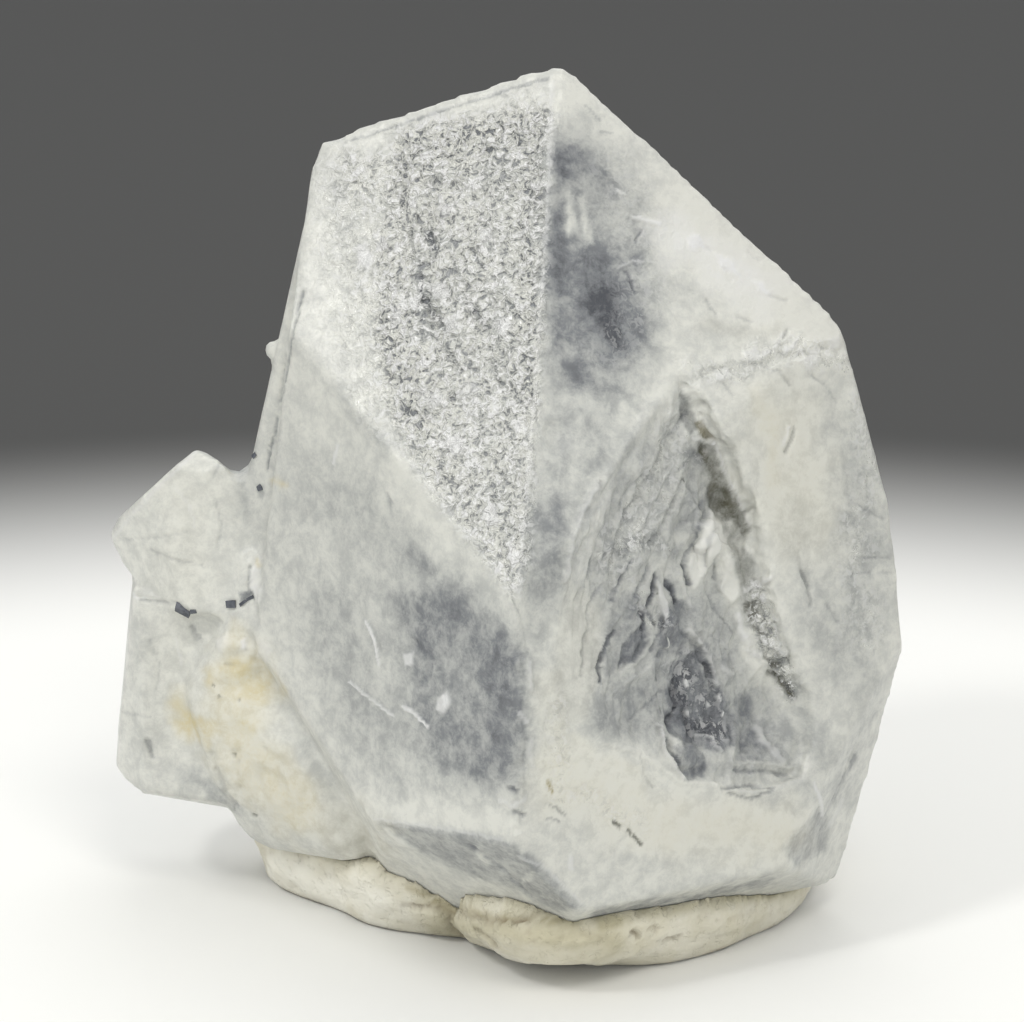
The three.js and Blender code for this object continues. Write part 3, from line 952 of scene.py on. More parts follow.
@dataclass(frozen=True)
class QuartzFinish:
    """Milky quartz: half see-through, with clear grey depths, stains and a glittering frost whose crinkle
    crests are painted highlights and whose troughs are painted shade.
    """

    milk: Colour = (0.93, 0.93, 0.85)
    haze: Colour = (0.60, 0.61, 0.575)
    shade: Colour = (0.25, 0.262, 0.275)
    depth: Colour = (0.06, 0.066, 0.08)
    stain: Colour = (0.80, 0.69, 0.38)
    olive: Colour = (0.10, 0.095, 0.055)
    white: Colour = (1.0, 1.0, 0.98)
    bending: float = 1.544
    see_through: float = 0.3
    inside_tint: Colour = (0.80, 0.84, 0.88)
    inside_density: float = 14.0

    def build(self, effects: Effects) -> bpy.types.Material:
        """Makes the material.

        Args:
            effects: The shared effects.

        Returns:
            The material.
        """
        material, tree, shader = new_material("milky_quartz")
        place = tree.millimetres()
        wisps = tree.group(effects.mottle, Place=place, Scale=1.0, Feather=0.78).outputs[0]
        crinkle = tree.noise(place, 2.5, 2.0, 0.78, 0.5)
        frost = tree.layer(Layer.FROST)
        tree.give(shader.inputs["Base Color"], self._colour(tree, wisps, crinkle, frost))
        tree.give(shader.inputs["Roughness"], self._roughness(tree, wisps, frost))
        tree.give(shader.inputs["Normal"], self._normal(tree, effects, place, crinkle, frost))
        shader.inputs["IOR"].default_value = self.bending
        shader.inputs["Transmission Weight"].default_value = self.see_through
        inside = tree.add("ShaderNodeVolumeAbsorption")
        inside.inputs["Color"].default_value = (*self.inside_tint, 1.0)
        inside.inputs["Density"].default_value = self.inside_density
        output = material.node_tree.nodes["Material Output"]
        tree.give(output.inputs["Volume"], inside.outputs["Volume"])
        return material

    def _colour(self, tree: Tree, wisps: object, crinkle: object, frost: object) -> bpy.types.NodeSocket:
        """Works out the colour from the layers, with painted highlights on the frost's crinkle crests and
        painted shade in their troughs.

        Args:
            tree: Tree to work in.
            wisps: Feathery patches.
            crinkle: Height of the fine crinkles in the frost.
            frost: How frosted the skin is.

        Returns:
            The colour.
        """
        # The clear layer holds the stone's clear grey depths, and also painted shade in the undercuts,
        # under the slanting edge and in the hollow's crevices.
        clear = tree.layer(Layer.CLEAR)
        room = tree.math("ADD", tree.math("MULTIPLY", clear, 0.2), 0.21)
        shift = tree.math("MULTIPLY", tree.math("SUBTRACT", wisps, 0.5), room)
        depth = tree.math("ADD", clear, shift, clamp=True)
        stops = ((0.0, self.milk), (0.33, self.haze), (0.66, self.shade), (1.0, self.depth))
        colour = tree.ramp(depth, stops)
        spots = tree.math("ADD", tree.math("MULTIPLY", wisps, 0.7), 0.55)
        stained = tree.math("MULTIPLY", tree.layer(Layer.STAIN), spots, clamp=True)
        colour = tree.mix(stained, colour, self.stain)
        olive_share = tree.math("MULTIPLY", tree.layer(Layer.OLIVE), spots, clamp=True)
        colour = tree.mix(olive_share, colour, self.olive)
        # Painted highlights: the crests of the frost's crinkles are painted white.
        strong = tree.math("MULTIPLY", tree.math("ADD", tree.math("MULTIPLY", wisps, 1.6), 0.3), frost)
        crest = tree.math("MULTIPLY", tree.between(crinkle, 0.5, 0.58), strong, clamp=True)
        colour = tree.mix(crest, colour, self.white)
        # Painted shade: the troughs of the frost's crinkles are mixed towards the shade tone.
        trough = tree.math("SUBTRACT", 1.0, tree.between(crinkle, 0.34, 0.48))
        dull = tree.math("MULTIPLY", trough, tree.math("MULTIPLY", frost, 0.9), clamp=True)
        colour = tree.mix(dull, colour, self.shade)
        # The white layer holds the stone's white bruises, scratches and crumbs, and also painted highlights
        # on the shining facets, the ridge, the crests and the sunlit cream.
        uneven = tree.math("ADD", tree.math("MULTIPLY", wisps, 0.7), 0.6)
        white = tree.math("MULTIPLY", tree.layer(Layer.WHITE), uneven, clamp=True)
        return tree.mix(white, colour, self.white)

    def _roughness(self, tree: Tree, wisps: object, frost: object) -> bpy.types.NodeSocket:
        """Works out the roughness: satin faces, glassy facets in the frost, dull sugary mass.

        Args:
            tree: Tree to work in.
            wisps: Feathery patches.
            frost: How frosted the skin is.

        Returns:
            The roughness.
        """
        plain = tree.math("ADD", tree.math("MULTIPLY", wisps, 0.14), 0.3)
        glassy = tree.math("SUBTRACT", plain, tree.math("MULTIPLY", frost, 0.14))
        sugary = tree.math("MULTIPLY", tree.layer(Layer.SUGAR), 0.25)
        return tree.math("ADD", glassy, sugary, clamp=True)

    def _normal(
        self, tree: Tree, effects: Effects, place: object, crinkle: object, frost: object
    ) -> bpy.types.NodeSocket:
        """Works out the fine relief.

        Args:
            tree: Tree to work in.
            effects: The shared effects.
            place: Coordinates in millimetres.
            crinkle: Height of the fine crinkles in the frost.
            frost: How frosted the skin is.

        Returns:
            The normal.
        """
        grain = tree.group(effects.grit, Place=place, Scale=1.6, Pits=0.0).outputs[0]
        normal = tree.bump(grain, 0.45, 0.16)
        return tree.bump(tree.math("MULTIPLY", crinkle, frost), 1.0, 0.42, normal)


@dataclass(frozen=True)
class PuttyFinish:
    """Cream putty: matte and a little soft, with painted shade in its middle, at its right and next to the
    crystal, painted light at its left, dark brown in its creases, folds and holes, and a few darker
    patches.
    """

    cream: Colour = (0.72, 0.68, 0.53)
    pale: Colour = (0.80, 0.77, 0.65)
    lit: Colour = (0.93, 0.91, 0.80)
    shade_and_stain: Colour = (0.50, 0.46, 0.31)
    dark_brown: Colour = (0.25, 0.19, 0.11)

    def build(self, effects: Effects) -> bpy.types.Material:
        """Makes the material.

        Args:
            effects: The shared effects.

        Returns:
            The material.
        """
        material, tree, shader = new_material("cream_putty")
        place = tree.millimetres()
        patches = tree.group(effects.mottle, Place=place, Scale=0.35, Feather=0.55).outputs[0]
        colour = tree.mix(patches, self.cream, self.pale)
        # The stain layer holds painted shade in the putty's middle, at its right, along the seam and next
        # to the crystals, and a few darker patches.
        shade_and_stain = tree.math("MULTIPLY", tree.layer(Layer.STAIN), 1.0, clamp=True)
        colour = tree.mix(shade_and_stain, colour, self.shade_and_stain)
        # The olive layer darkens the putty to dark brown in its creases, folds and holes, along the seam
        # and in patches just above the floor.
        olive_share = tree.math("MULTIPLY", tree.layer(Layer.OLIVE), 1.0, clamp=True)
        colour = tree.mix(olive_share, colour, self.dark_brown)
        colour = tree.mix(tree.layer(Layer.WHITE), colour, self.lit)
        tree.give(shader.inputs["Base Color"], colour)
        tree.give(shader.inputs["Roughness"], tree.math("ADD", tree.math("MULTIPLY", patches, 0.15), 0.6))
        grain = tree.group(effects.grit, Place=place, Scale=2.2, Pits=0.3).outputs[0]
        tree.give(shader.inputs["Normal"], tree.bump(grain, 0.7, 0.14))
        return material


@dataclass(frozen=True)
class DarkGrainFinish:
    """Dull dark mineral with a faint metallic glint."""

    dark: Colour = (0.035, 0.042, 0.055)
    pale: Colour = (0.13, 0.14, 0.16)

    def build(self, effects: Effects) -> bpy.types.Material:
        """Makes the material.

        Args:
            effects: The shared effects.

        Returns:
            The material.
        """
        material, tree, shader = new_material("dark_mineral")
        place = tree.millimetres()
        patches = tree.group(effects.mottle, Place=place, Scale=3.0, Feather=0.6).outputs[0]
        tree.give(shader.inputs["Base Color"], tree.mix(patches, self.dark, self.pale))
        tree.give(shader.inputs["Roughness"], tree.math("ADD", tree.math("MULTIPLY", patches, 0.25), 0.3))
        grain = tree.group(effects.grit, Place=place, Scale=9.0, Pits=0.3).outputs[0]
        tree.give(shader.inputs["Normal"], tree.bump(grain, 0.5, 0.03))
        return material


# Clear grey depths and milky clouds inside the stone, with painted shade in the undercuts and under the
# slanting edge, and painted sunlight on the cream shoulder.
DEPTHS_AND_PAINTED_LIGHT = {
    "glittering face": cloud((430, 200), (470, 330), (500, 500), width=150, clear=0.07),
    "glittering face, dull middle": cloud((420, 262), (424, 330), width=34, clear=0.22),
    "glittering face, right": cloud((498, 170), (508, 330), width=60, clear=0.1),
    "left prism face": cloud((280, 470), (300, 620), (360, 760), width=150, clear=0.1),
    "its broad grey": cloud((350, 500), (400, 560), (440, 600), width=140, clear=0.2),
    "its left grey": cloud((340, 610), (370, 700), (420, 760), width=130, clear=0.2),
    "its dark side": facet(
        (395, 600), (455, 588), (505, 618), (527, 660), (526, 788), (470, 794), (440, 765), (405, 700),
        fade=50, clear=0.42,
    ),
    "its core": cloud((500, 650), (498, 750), width=80, clear=0.2),
    "its pale patch": cloud((398, 478), (440, 540), width=44, clear=-0.14),
    "its foot": cloud((340, 800), (430, 815), (510, 822), width=34, clear=-0.1),
    "patch on it": cloud((412, 556), (430, 568), width=26, clear=0.22),
    "shadow under the slanting edge": cloud((332, 392), (356, 412), (384, 444), width=34, clear=0.12),
    "right pyramid face": cloud((570, 170), (600, 300), (590, 420), (560, 560), width=150, clear=0.2),
    "top patch by the ridge": facet(
        (554, 148), (562, 143), (571, 158), (566, 178), (556, 176), (551, 166), fade=16, clear=0.34
    ),
    "upper grey mass": facet(
        (546, 132), (592, 128), (640, 190), (664, 262), (656, 340), (640, 384), (566, 402), (545, 300),
        fade=52, clear=0.2,
    ),
    "upper grey mass, left": cloud((553, 200), (556, 330), (552, 400), width=44, clear=0.12),
    "grey tail of it": cloud((548, 392), (562, 432), (556, 470), width=34, clear=0.12),
    "veined patch 1": cloud((596, 384), (622, 392), (640, 410), width=20, clear=0.14),
    "veined patch 2": cloud((588, 420), (604, 446), (592, 470), width=18, clear=0.12),
    "veined patch 3": cloud((640, 428), (626, 448), width=18, clear=0.12),
    "milky patch 1": cloud((566, 400), (588, 398), width=26, clear=-0.14),
    "milky patch 2": cloud((572, 450), (566, 480), width=26, clear=-0.1),
    "milky patch 3": cloud((624, 412), (612, 432), width=20, clear=-0.1),
    "veil beside it": cloud((585, 150), (600, 175), width=40, clear=0.1),
    "strip beside the ridge": facet(
        (550, 205), (560, 212), (567, 240), (563, 262), (568, 292), (546, 298), (546, 250),
        fade=18, clear=0.26,
    ),
    "large upper depth": facet(
        (566, 268), (590, 250), (612, 262), (622, 290), (630, 310), (642, 336), (628, 356), (598, 350),
        (582, 326), (572, 298),
        fade=40, clear=0.34,
    ),
    "heart of it": cloud((606, 300), (616, 345), width=50, clear=0.14),
    "left of it": cloud((548, 310), (565, 345), width=50, clear=0.18),
    "depth right of the streaks": cloud((640, 205), (650, 235), width=36, clear=0.16),
    "crinkled depth": cloud((630, 262), (640, 292), (655, 350), width=40, clear=0.14),
    "streak left of the depth": cloud((568, 195), (570, 232), width=16, clear=-0.34),
    "second streak": cloud((582, 200), (590, 240), width=14, clear=-0.3),
    "small dark nest": facet(
        (552, 362), (580, 360), (590, 380), (580, 394), (566, 380), fade=16, clear=0.2
    ),
    "middle veil": cloud((600, 400), (620, 430), width=50, clear=0.04),
    "grey left of the hollow": facet(
        (527, 500), (562, 488), (567, 520), (562, 570), (556, 620), (540, 650), (524, 620), (524, 560),
        fade=14, clear=0.2,
    ),
    "pale top": cloud((575, 90), (610, 125), width=50, clear=-0.06),
    # Partly the stone's cream tint, partly painted sunlight.
    "cream shoulder": cloud(
        (690, 215), (750, 275), (825, 335), width=130, clear=-0.12, stain=0.05, white=0.1
    ),
    # Painted sunlight on the cream shoulder.
    "sunlit cream": cloud((676, 236), (757, 292), width=80, clear=-0.08, white=0.45),
    "right plate": cloud((780, 420), (800, 520), width=140, clear=-0.08, stain=0.12),
    "right plate's grey side": cloud((850, 450), (862, 560), (850, 660), width=90, clear=0.2),
    "right plate's inner grey": cloud((800, 520), (820, 640), width=60, clear=0.13),
    "right plate's foot": cloud((800, 700), (818, 760), width=60, clear=0.18),
    "low right face": cloud((868, 690), (838, 800), width=60, clear=0.14),
    "low right nick": facet(
        (782, 850), (818, 808), (830, 820), (826, 850), (800, 868), fade=8, clear=0.34, lift=-0.08
    ),
    # Painted shade on the undercut that faces down.
    "left undercut": facet(
        (378, 822), (440, 828), (502, 838), (540, 862), (584, 908), (560, 912), (520, 892), (478, 878),
        (410, 848),
        fade=10, clear=0.36,
    ),
    "left undercut's light patch": cloud((478, 852), (488, 862), width=13, clear=-0.3),
    "left undercut's second patch": cloud((524, 880), (532, 876), width=10, clear=-0.3),
    # Painted shade along the right undercut at the crystal's foot.
    "right undercut": cloud((596, 914), (690, 898), (770, 880), width=16, clear=0.4),
    "low front": cloud((560, 780), (680, 830), (780, 830), width=110, clear=-0.13, stain=0.14),
    "low front's left": cloud((548, 680), (552, 760), width=40, clear=0.02, stain=0.08),
    "slab": cloud((285, 300), (272, 400), width=24, clear=-0.04),
    "upper left of the glittering face": cloud((340, 190), (350, 260), width=70, clear=0.07),
    "hollow's grey": facet(
        (684, 404), (640, 440), (604, 500), (590, 580), (602, 620), (592, 680), (590, 732), (650, 745),
        (690, 778), (796, 770), (790, 740), (742, 650), (724, 590), (700, 560), (706, 500), (699, 440),
        fade=26, clear=0.17,
    ),
    "hollow's blue grey": cloud((640, 606), (680, 640), (722, 690), width=96, clear=0.12),
    "shoulder mottle 1": cloud((700, 320), (740, 336), (776, 330), width=30, clear=0.08, stain=0.06),
    "shoulder mottle 2": cloud((680, 280), (700, 300), width=26, clear=0.08),
    "plate mottle 1": cloud((760, 400), (776, 440), (770, 480), width=36, clear=-0.06, stain=0.08),
    "plate mottle 2": cloud((820, 400), (836, 430), width=30, clear=0.08),
    "plate mottle 3": cloud((780, 560), (800, 590), width=24, clear=-0.08),
    "low front mottle 1": cloud((560, 730), (600, 760), (640, 770), width=26, clear=-0.06, stain=0.06),
    "low front mottle 2": cloud((600, 850), (650, 870), (720, 850), width=30, clear=0.07),
    "low front mottle 3": cloud((548, 640), (560, 690), width=20, clear=0.08),
    "side crystals": cloud((190, 500), (180, 600), (160, 720), width=110, stain=0.05),
}

# Where the skin is etched into glittering facets; in the colour, the crests of its crinkles are painted
# highlights and its troughs painted shade.
FROST = {
    "glitter": facet(
        (404, 132), (548, 108), (543, 300), (532, 450), (529, 560), (513, 596), (478, 548), (432, 492),
        (402, 440), (378, 330), (384, 200), fade=26, frost=0.95
    ),
    "glitter, left": cloud((350, 180), (362, 290), (392, 400), width=120, frost=0.42),
    "glitter at the top": cloud((370, 170), (450, 135), (530, 112), width=90, frost=0.45),
    "glitter by the ridge": cloud((532, 160), (528, 400), width=30, frost=0.5),
    "torn comb": cloud((756, 590), (772, 650), (790, 690), width=34, frost=0.9),
    "crinkled shoulder": cloud((700, 372), (750, 362), (800, 350), (846, 362), width=52, frost=0.4),
    "crinkled feathers": cloud((604, 170), (642, 215), (652, 290), (610, 350), width=84, frost=0.14),
    "drape": cloud((676, 440), (650, 500), (610, 560), width=90, frost=0.3),
    "crinkled plate": cloud((860, 400), (872, 470), (850, 560), (866, 640), width=60, frost=0.3),
    "crinkled low front": cloud((556, 700), (560, 790), (640, 820), width=40, frost=0.25),
    "frosted core": cloud((690, 670), (715, 730), width=60, frost=0.3),
    "fibres": cloud((640, 590), (655, 620), width=50, frost=0.3),
}

# Scratches, cracks, flakes and crests on the outer faces, with painted glints on the shining facets and the
# cream, and painted highlights along the ridge and the crest of the glittering face.
SCRATCHES_AND_HIGHLIGHTS = {
    "bevel line": stroke((352, 140), (450, 108), (548, 78), width=4, lift=-0.03, clear=0.28),
    "long dent": facet((421, 228), (430, 229), (438, 250), (430, 250), fade=3, lift=-0.2, clear=0.45),
    "thin dent": stroke((473, 255), (485, 269), width=4, lift=-0.08, clear=0.35),
    "torn middle": stroke(
        (421, 275), (420, 292), (428, 305), (434, 318), (446, 330), width=7, lift=-0.16, clear=0.3
    ),
    "gouge 1": stroke((452, 258), (458, 274), (466, 286), width=5, lift=-0.14, clear=0.26),
    "gouge 2": stroke((474, 306), (484, 326), width=6, lift=-0.14, clear=0.28),
    "gouge 3": stroke((436, 336), (452, 356), (458, 372), width=6, lift=-0.14, clear=0.24),
    "gouge 4": stroke((490, 360), (500, 384), width=5, lift=-0.12, clear=0.22),
    "gouge 5": stroke((418, 216), (410, 232), (414, 252), width=5, lift=-0.12, clear=0.2),
    # The shining facets are painted glints: white laid on small raised facets.
    "shining facet 1": facet((428, 285), (444, 282), (448, 296), (434, 300), fade=4, white=0.7, lift=0.1),
    "shining facet 2": facet((440, 318), (458, 314), (462, 328), (446, 334), fade=4, white=0.7, lift=0.1),
    "shining facet 3": facet((494, 320), (508, 316), (512, 330), (500, 336), fade=4, white=0.7, lift=0.1),
    "shining facet 4": facet((420, 392), (438, 388), (446, 404), (428, 410), fade=4, white=0.7, lift=0.1),
    "shining facet 5": facet((446, 440), (460, 432), (466, 450), (452, 458), fade=4, white=0.75, lift=0.1),
    "shining facet 6": facet((440, 206), (450, 204), (454, 214), (444, 218), fade=4, white=0.7, lift=0.08),
    "shining facet 7": facet((478, 232), (490, 228), (494, 240), (482, 244), fade=4, white=0.6, lift=0.08),
    "shining facet 8": facet((482, 510), (494, 504), (500, 522), (488, 528), fade=4, white=0.75, lift=0.1),
    "shining facet 9": facet((508, 548), (516, 544), (518, 562), (510, 564), fade=3, white=0.75, lift=0.08),
    "shining facet 10": facet((462, 384), (476, 380), (480, 394), (466, 398), fade=4, white=0.5, lift=0.08),
    "shining facet 11": facet((372, 232), (384, 236), (388, 248), (376, 246), fade=4, white=0.5, lift=0.06),
    "small hollow": stroke((470, 304), (476, 318), width=8, lift=-0.12, clear=0.25),
    "white bruise": facet(
        (357, 246), (366, 242), (374, 258), (368, 272), (358, 262), fade=4, lift=0.06, white=0.75
    ),
    "white bruise, lower": facet(
        (390, 314), (400, 302), (404, 308), (398, 324), (390, 322), fade=4, lift=0.06, white=0.7
    ),
    "white bruise, tail": stroke((383, 238), (392, 258), width=5, lift=0.04, white=0.4),
    "prism scratch 1": stroke((366, 620), (375, 642), (379, 664), width=3.6, lift=0.06, white=0.75),
    "prism scratch 2": stroke((350, 682), (372, 700), (394, 716), width=3.4, lift=0.06, white=0.7),
    "prism scratch 3": stroke((404, 706), (418, 716), (428, 727), width=4.2, lift=0.08, white=0.9),
    "prism bruise": facet(
        (439, 698), (447, 690), (452, 702), (444, 714), (436, 708), fade=4, lift=0.1, white=0.8
    ),
    "prism fleck": facet((404, 655), (414, 652), (413, 665), (405, 665), fade=3, lift=0.06, white=0.7),
    "prism scratch 4": stroke((338, 446), (333, 464), width=4, lift=0.03, white=0.5),
    "prism nick": stroke((385, 491), (391, 503), width=4, lift=-0.06, clear=0.2),
    "prism crumbs": stroke((420, 640), (432, 660), (424, 684), width=10, clear=0.14, lift=-0.05),
    "seam 1": stroke((508, 588), (522, 620), (528, 655), width=4, lift=-0.06, clear=0.1),
    "seam 2": stroke((522, 655), (525, 680), (520, 705), (524, 740), width=5, lift=-0.06, clear=0.12),
    "seam 3": stroke((526, 740), (523, 765), (526, 790), (519, 830), width=5, lift=-0.06, clear=0.08),
    "seam crumbs 1": stroke((529, 662), (531, 690), width=5, lift=0.09, white=0.3),
    "seam crumbs 2": stroke((519, 712), (527, 722), width=5, lift=0.09, white=0.4),
    "seam crumbs 3": stroke((530, 740), (529, 752), (532, 765), width=7, lift=0.09, white=0.3),
    "seam crumbs 4": stroke((500, 800), (512, 806), (524, 800), width=6, lift=0.07, white=0.3),
    "seam pit 1": stroke((510, 788), (518, 792), width=6, lift=-0.15, clear=0.35),
    "seam pit 2": stroke((515, 812), (524, 815), width=6, lift=-0.12, clear=0.3),
    "undercut crest": stroke((375, 819), (452, 830), (502, 840), width=4, white=0.3, lift=0.03),
    "undercut crest 2": stroke((518, 856), (545, 868), (580, 902), width=4, white=0.35),
    "undercut lip": facet(
        (384, 828), (404, 838), (418, 850), (398, 844), fade=4, clear=-0.3, white=0.2, lift=0.08
    ),
    "undercut step": stroke((470, 845), (500, 866), (530, 896), width=4, lift=-0.08, clear=0.15),
    "front crack": stroke((614, 823), (630, 832), (641, 845), width=4.5, lift=-0.14, olive=0.75, clear=0.2),
    "front curl": stroke((547, 804), (556, 807), (566, 816), width=4, lift=-0.08, clear=0.3),
    "front curl 2": stroke((547, 818), (559, 821), width=3.5, lift=-0.06, clear=0.3),
    "red speck": stroke((548, 782), (552, 792), width=4, olive=0.5, stain=0.9),
    "front fleck": stroke((570, 858), (571, 869), width=6, white=0.45, lift=0.04),
    "ledge, upper line": stroke((722, 789), (746, 785), (774, 788), width=4, lift=-0.1, clear=0.3),
    "ledge, lower line": stroke((728, 793), (752, 799), (772, 790), width=3.5, lift=-0.08, clear=0.3),
    "curved splinter": stroke((641, 753), (644, 776), (653, 787), width=3.5, lift=-0.06, clear=0.12),
    "white streak": stroke((814, 784), (820, 800), (823, 816), width=5, white=0.6, lift=0.05),
    "low right streak": stroke((856, 756), (838, 790), (826, 815), width=5, clear=0.2, lift=-0.05),
    "low right light": stroke((842, 800), (830, 826), width=5, white=0.25),
    "plate nick": stroke((795, 428), (791, 442), (785, 453), width=4.5, lift=-0.1, clear=0.3, olive=0.2),
    "plate nick, lit": stroke((789, 428), (783, 446), width=4, white=0.45, lift=0.04),
    "plate curl": stroke((801, 570), (808, 586), (811, 604), width=4.5, lift=-0.07, clear=0.16, olive=0.1),
    "plate curl 2": stroke((826, 604), (838, 622), width=5, lift=-0.05, clear=0.12),
    "growth line 1": stroke((846, 470), (878, 492), width=3.5, lift=-0.04, white=0.12),
    "growth line 2": stroke((850, 500), (884, 520), width=3.5, lift=-0.04, clear=0.12),
    "growth line 3": stroke((852, 557), (889, 558), width=3.5, lift=-0.04, clear=0.14),
    "growth line 4": stroke((850, 573), (894, 572), width=3.5, lift=-0.04, clear=0.1),
    "shoulder fold": cloud(
        (682, 384), (720, 370), (762, 364), (806, 354), (846, 346), width=16, lift=-0.12
    ),
    "shoulder fleck 1": stroke((786, 352), (794, 344), (798, 338), width=7, white=0.5, lift=0.05),
    "shoulder fleck 2": stroke((776, 346), (784, 332), width=5, white=0.4, lift=0.04),
    "shoulder fleck 3": stroke((760, 358), (768, 352), width=6, white=0.5, lift=0.06),
    "shoulder pit": stroke((784, 338), (788, 330), width=4, clear=0.2, lift=-0.08),
    "slab crack": stroke(
        (303, 292), (291, 340), (284, 382), (275, 430), (266, 470), width=3.5, lift=-0.1, clear=0.34
    ),
    "cream fleck 1": stroke((700, 244), (712, 250), width=4, clear=0.16, lift=-0.05),
    "cream fleck 2": stroke((724, 268), (730, 280), width=4, clear=0.14, lift=-0.05),
    "cream fleck 3": stroke((748, 252), (760, 262), width=4, clear=0.14, lift=-0.05),
    "cream fleck 4": stroke((770, 296), (786, 300), width=4, clear=0.16, lift=-0.05),
    "cream fleck 5": stroke((706, 300), (716, 314), width=4, clear=0.16, lift=-0.05),
    "cream fleck 6": stroke((738, 316), (752, 322), width=4, clear=0.16, lift=-0.05),
    "cream glint 1": facet((686, 238), (700, 234), (704, 246), (690, 250), fade=5, white=0.6, lift=0.05),
    "cream glint 2": facet((716, 254), (734, 262), (740, 276), (724, 270), fade=6, white=0.6, lift=0.05),
    "cream glint 3": facet((752, 280), (764, 284), (770, 296), (758, 292), fade=5, white=0.5, lift=0.05),
    "shoulder flake 1": facet((742, 352), (756, 346), (760, 356), (748, 362), fade=3, white=0.5, lift=0.07),
    "shoulder flake 2": facet((800, 360), (816, 352), (822, 362), (808, 372), fade=3, white=0.4, lift=0.07),
    "shoulder flake 3": facet(
        (714, 372), (728, 366), (732, 376), (720, 382), fade=3, white=0.35, lift=0.06
    ),
    "shoulder flake 4": facet(
        (826, 340), (838, 336), (842, 346), (832, 350), fade=3, white=0.45, lift=0.06
    ),
    "shoulder crease 1": stroke((764, 366), (780, 372), (790, 386), width=4, clear=0.16, lift=-0.06),
    "shoulder crease 2": stroke((812, 376), (826, 386), (836, 402), width=4, clear=0.14, lift=-0.05),
    "shoulder crease 3": stroke((724, 384), (734, 396), width=4, clear=0.14, lift=-0.05),
    "slab chip": facet((255, 484), (264, 485), (262, 500), (258, 498), fade=3, clear=0.2, lift=-0.06),
    # Painted highlight along the crest of the glittering face.
    "crest of the glittering face": stroke(
        (383, 430), (440, 498), (505, 581), width=4, white=0.3, lift=0.02
    ),
    # Painted highlight along the ridge, which is also raised a little.
    "ridge": stroke(
        (553, 82), (548, 200), (541, 300), (530, 450), (519, 590), width=6, white=0.35, lift=0.03
    ),
    "upper thread 1": stroke((586, 105), (600, 120), width=3.5, clear=0.2),
    "upper thread 2": stroke((600, 131), (613, 133), width=3.5, clear=0.2),
    "feather 1": stroke((634, 218), (648, 220), (660, 224), width=5, white=0.5, lift=0.05),
    "feather 2": stroke((616, 190), (624, 194), width=5, white=0.4, lift=0.05),
    "feather 3": stroke((618, 268), (632, 261), (644, 262), width=4, white=0.3, lift=0.05),
    "feather 4": stroke((640, 232), (636, 242), width=5, clear=0.25, lift=-0.08),
    "feather 5": stroke((627, 272), (632, 284), (636, 292), width=5, clear=0.25, lift=-0.08),
}
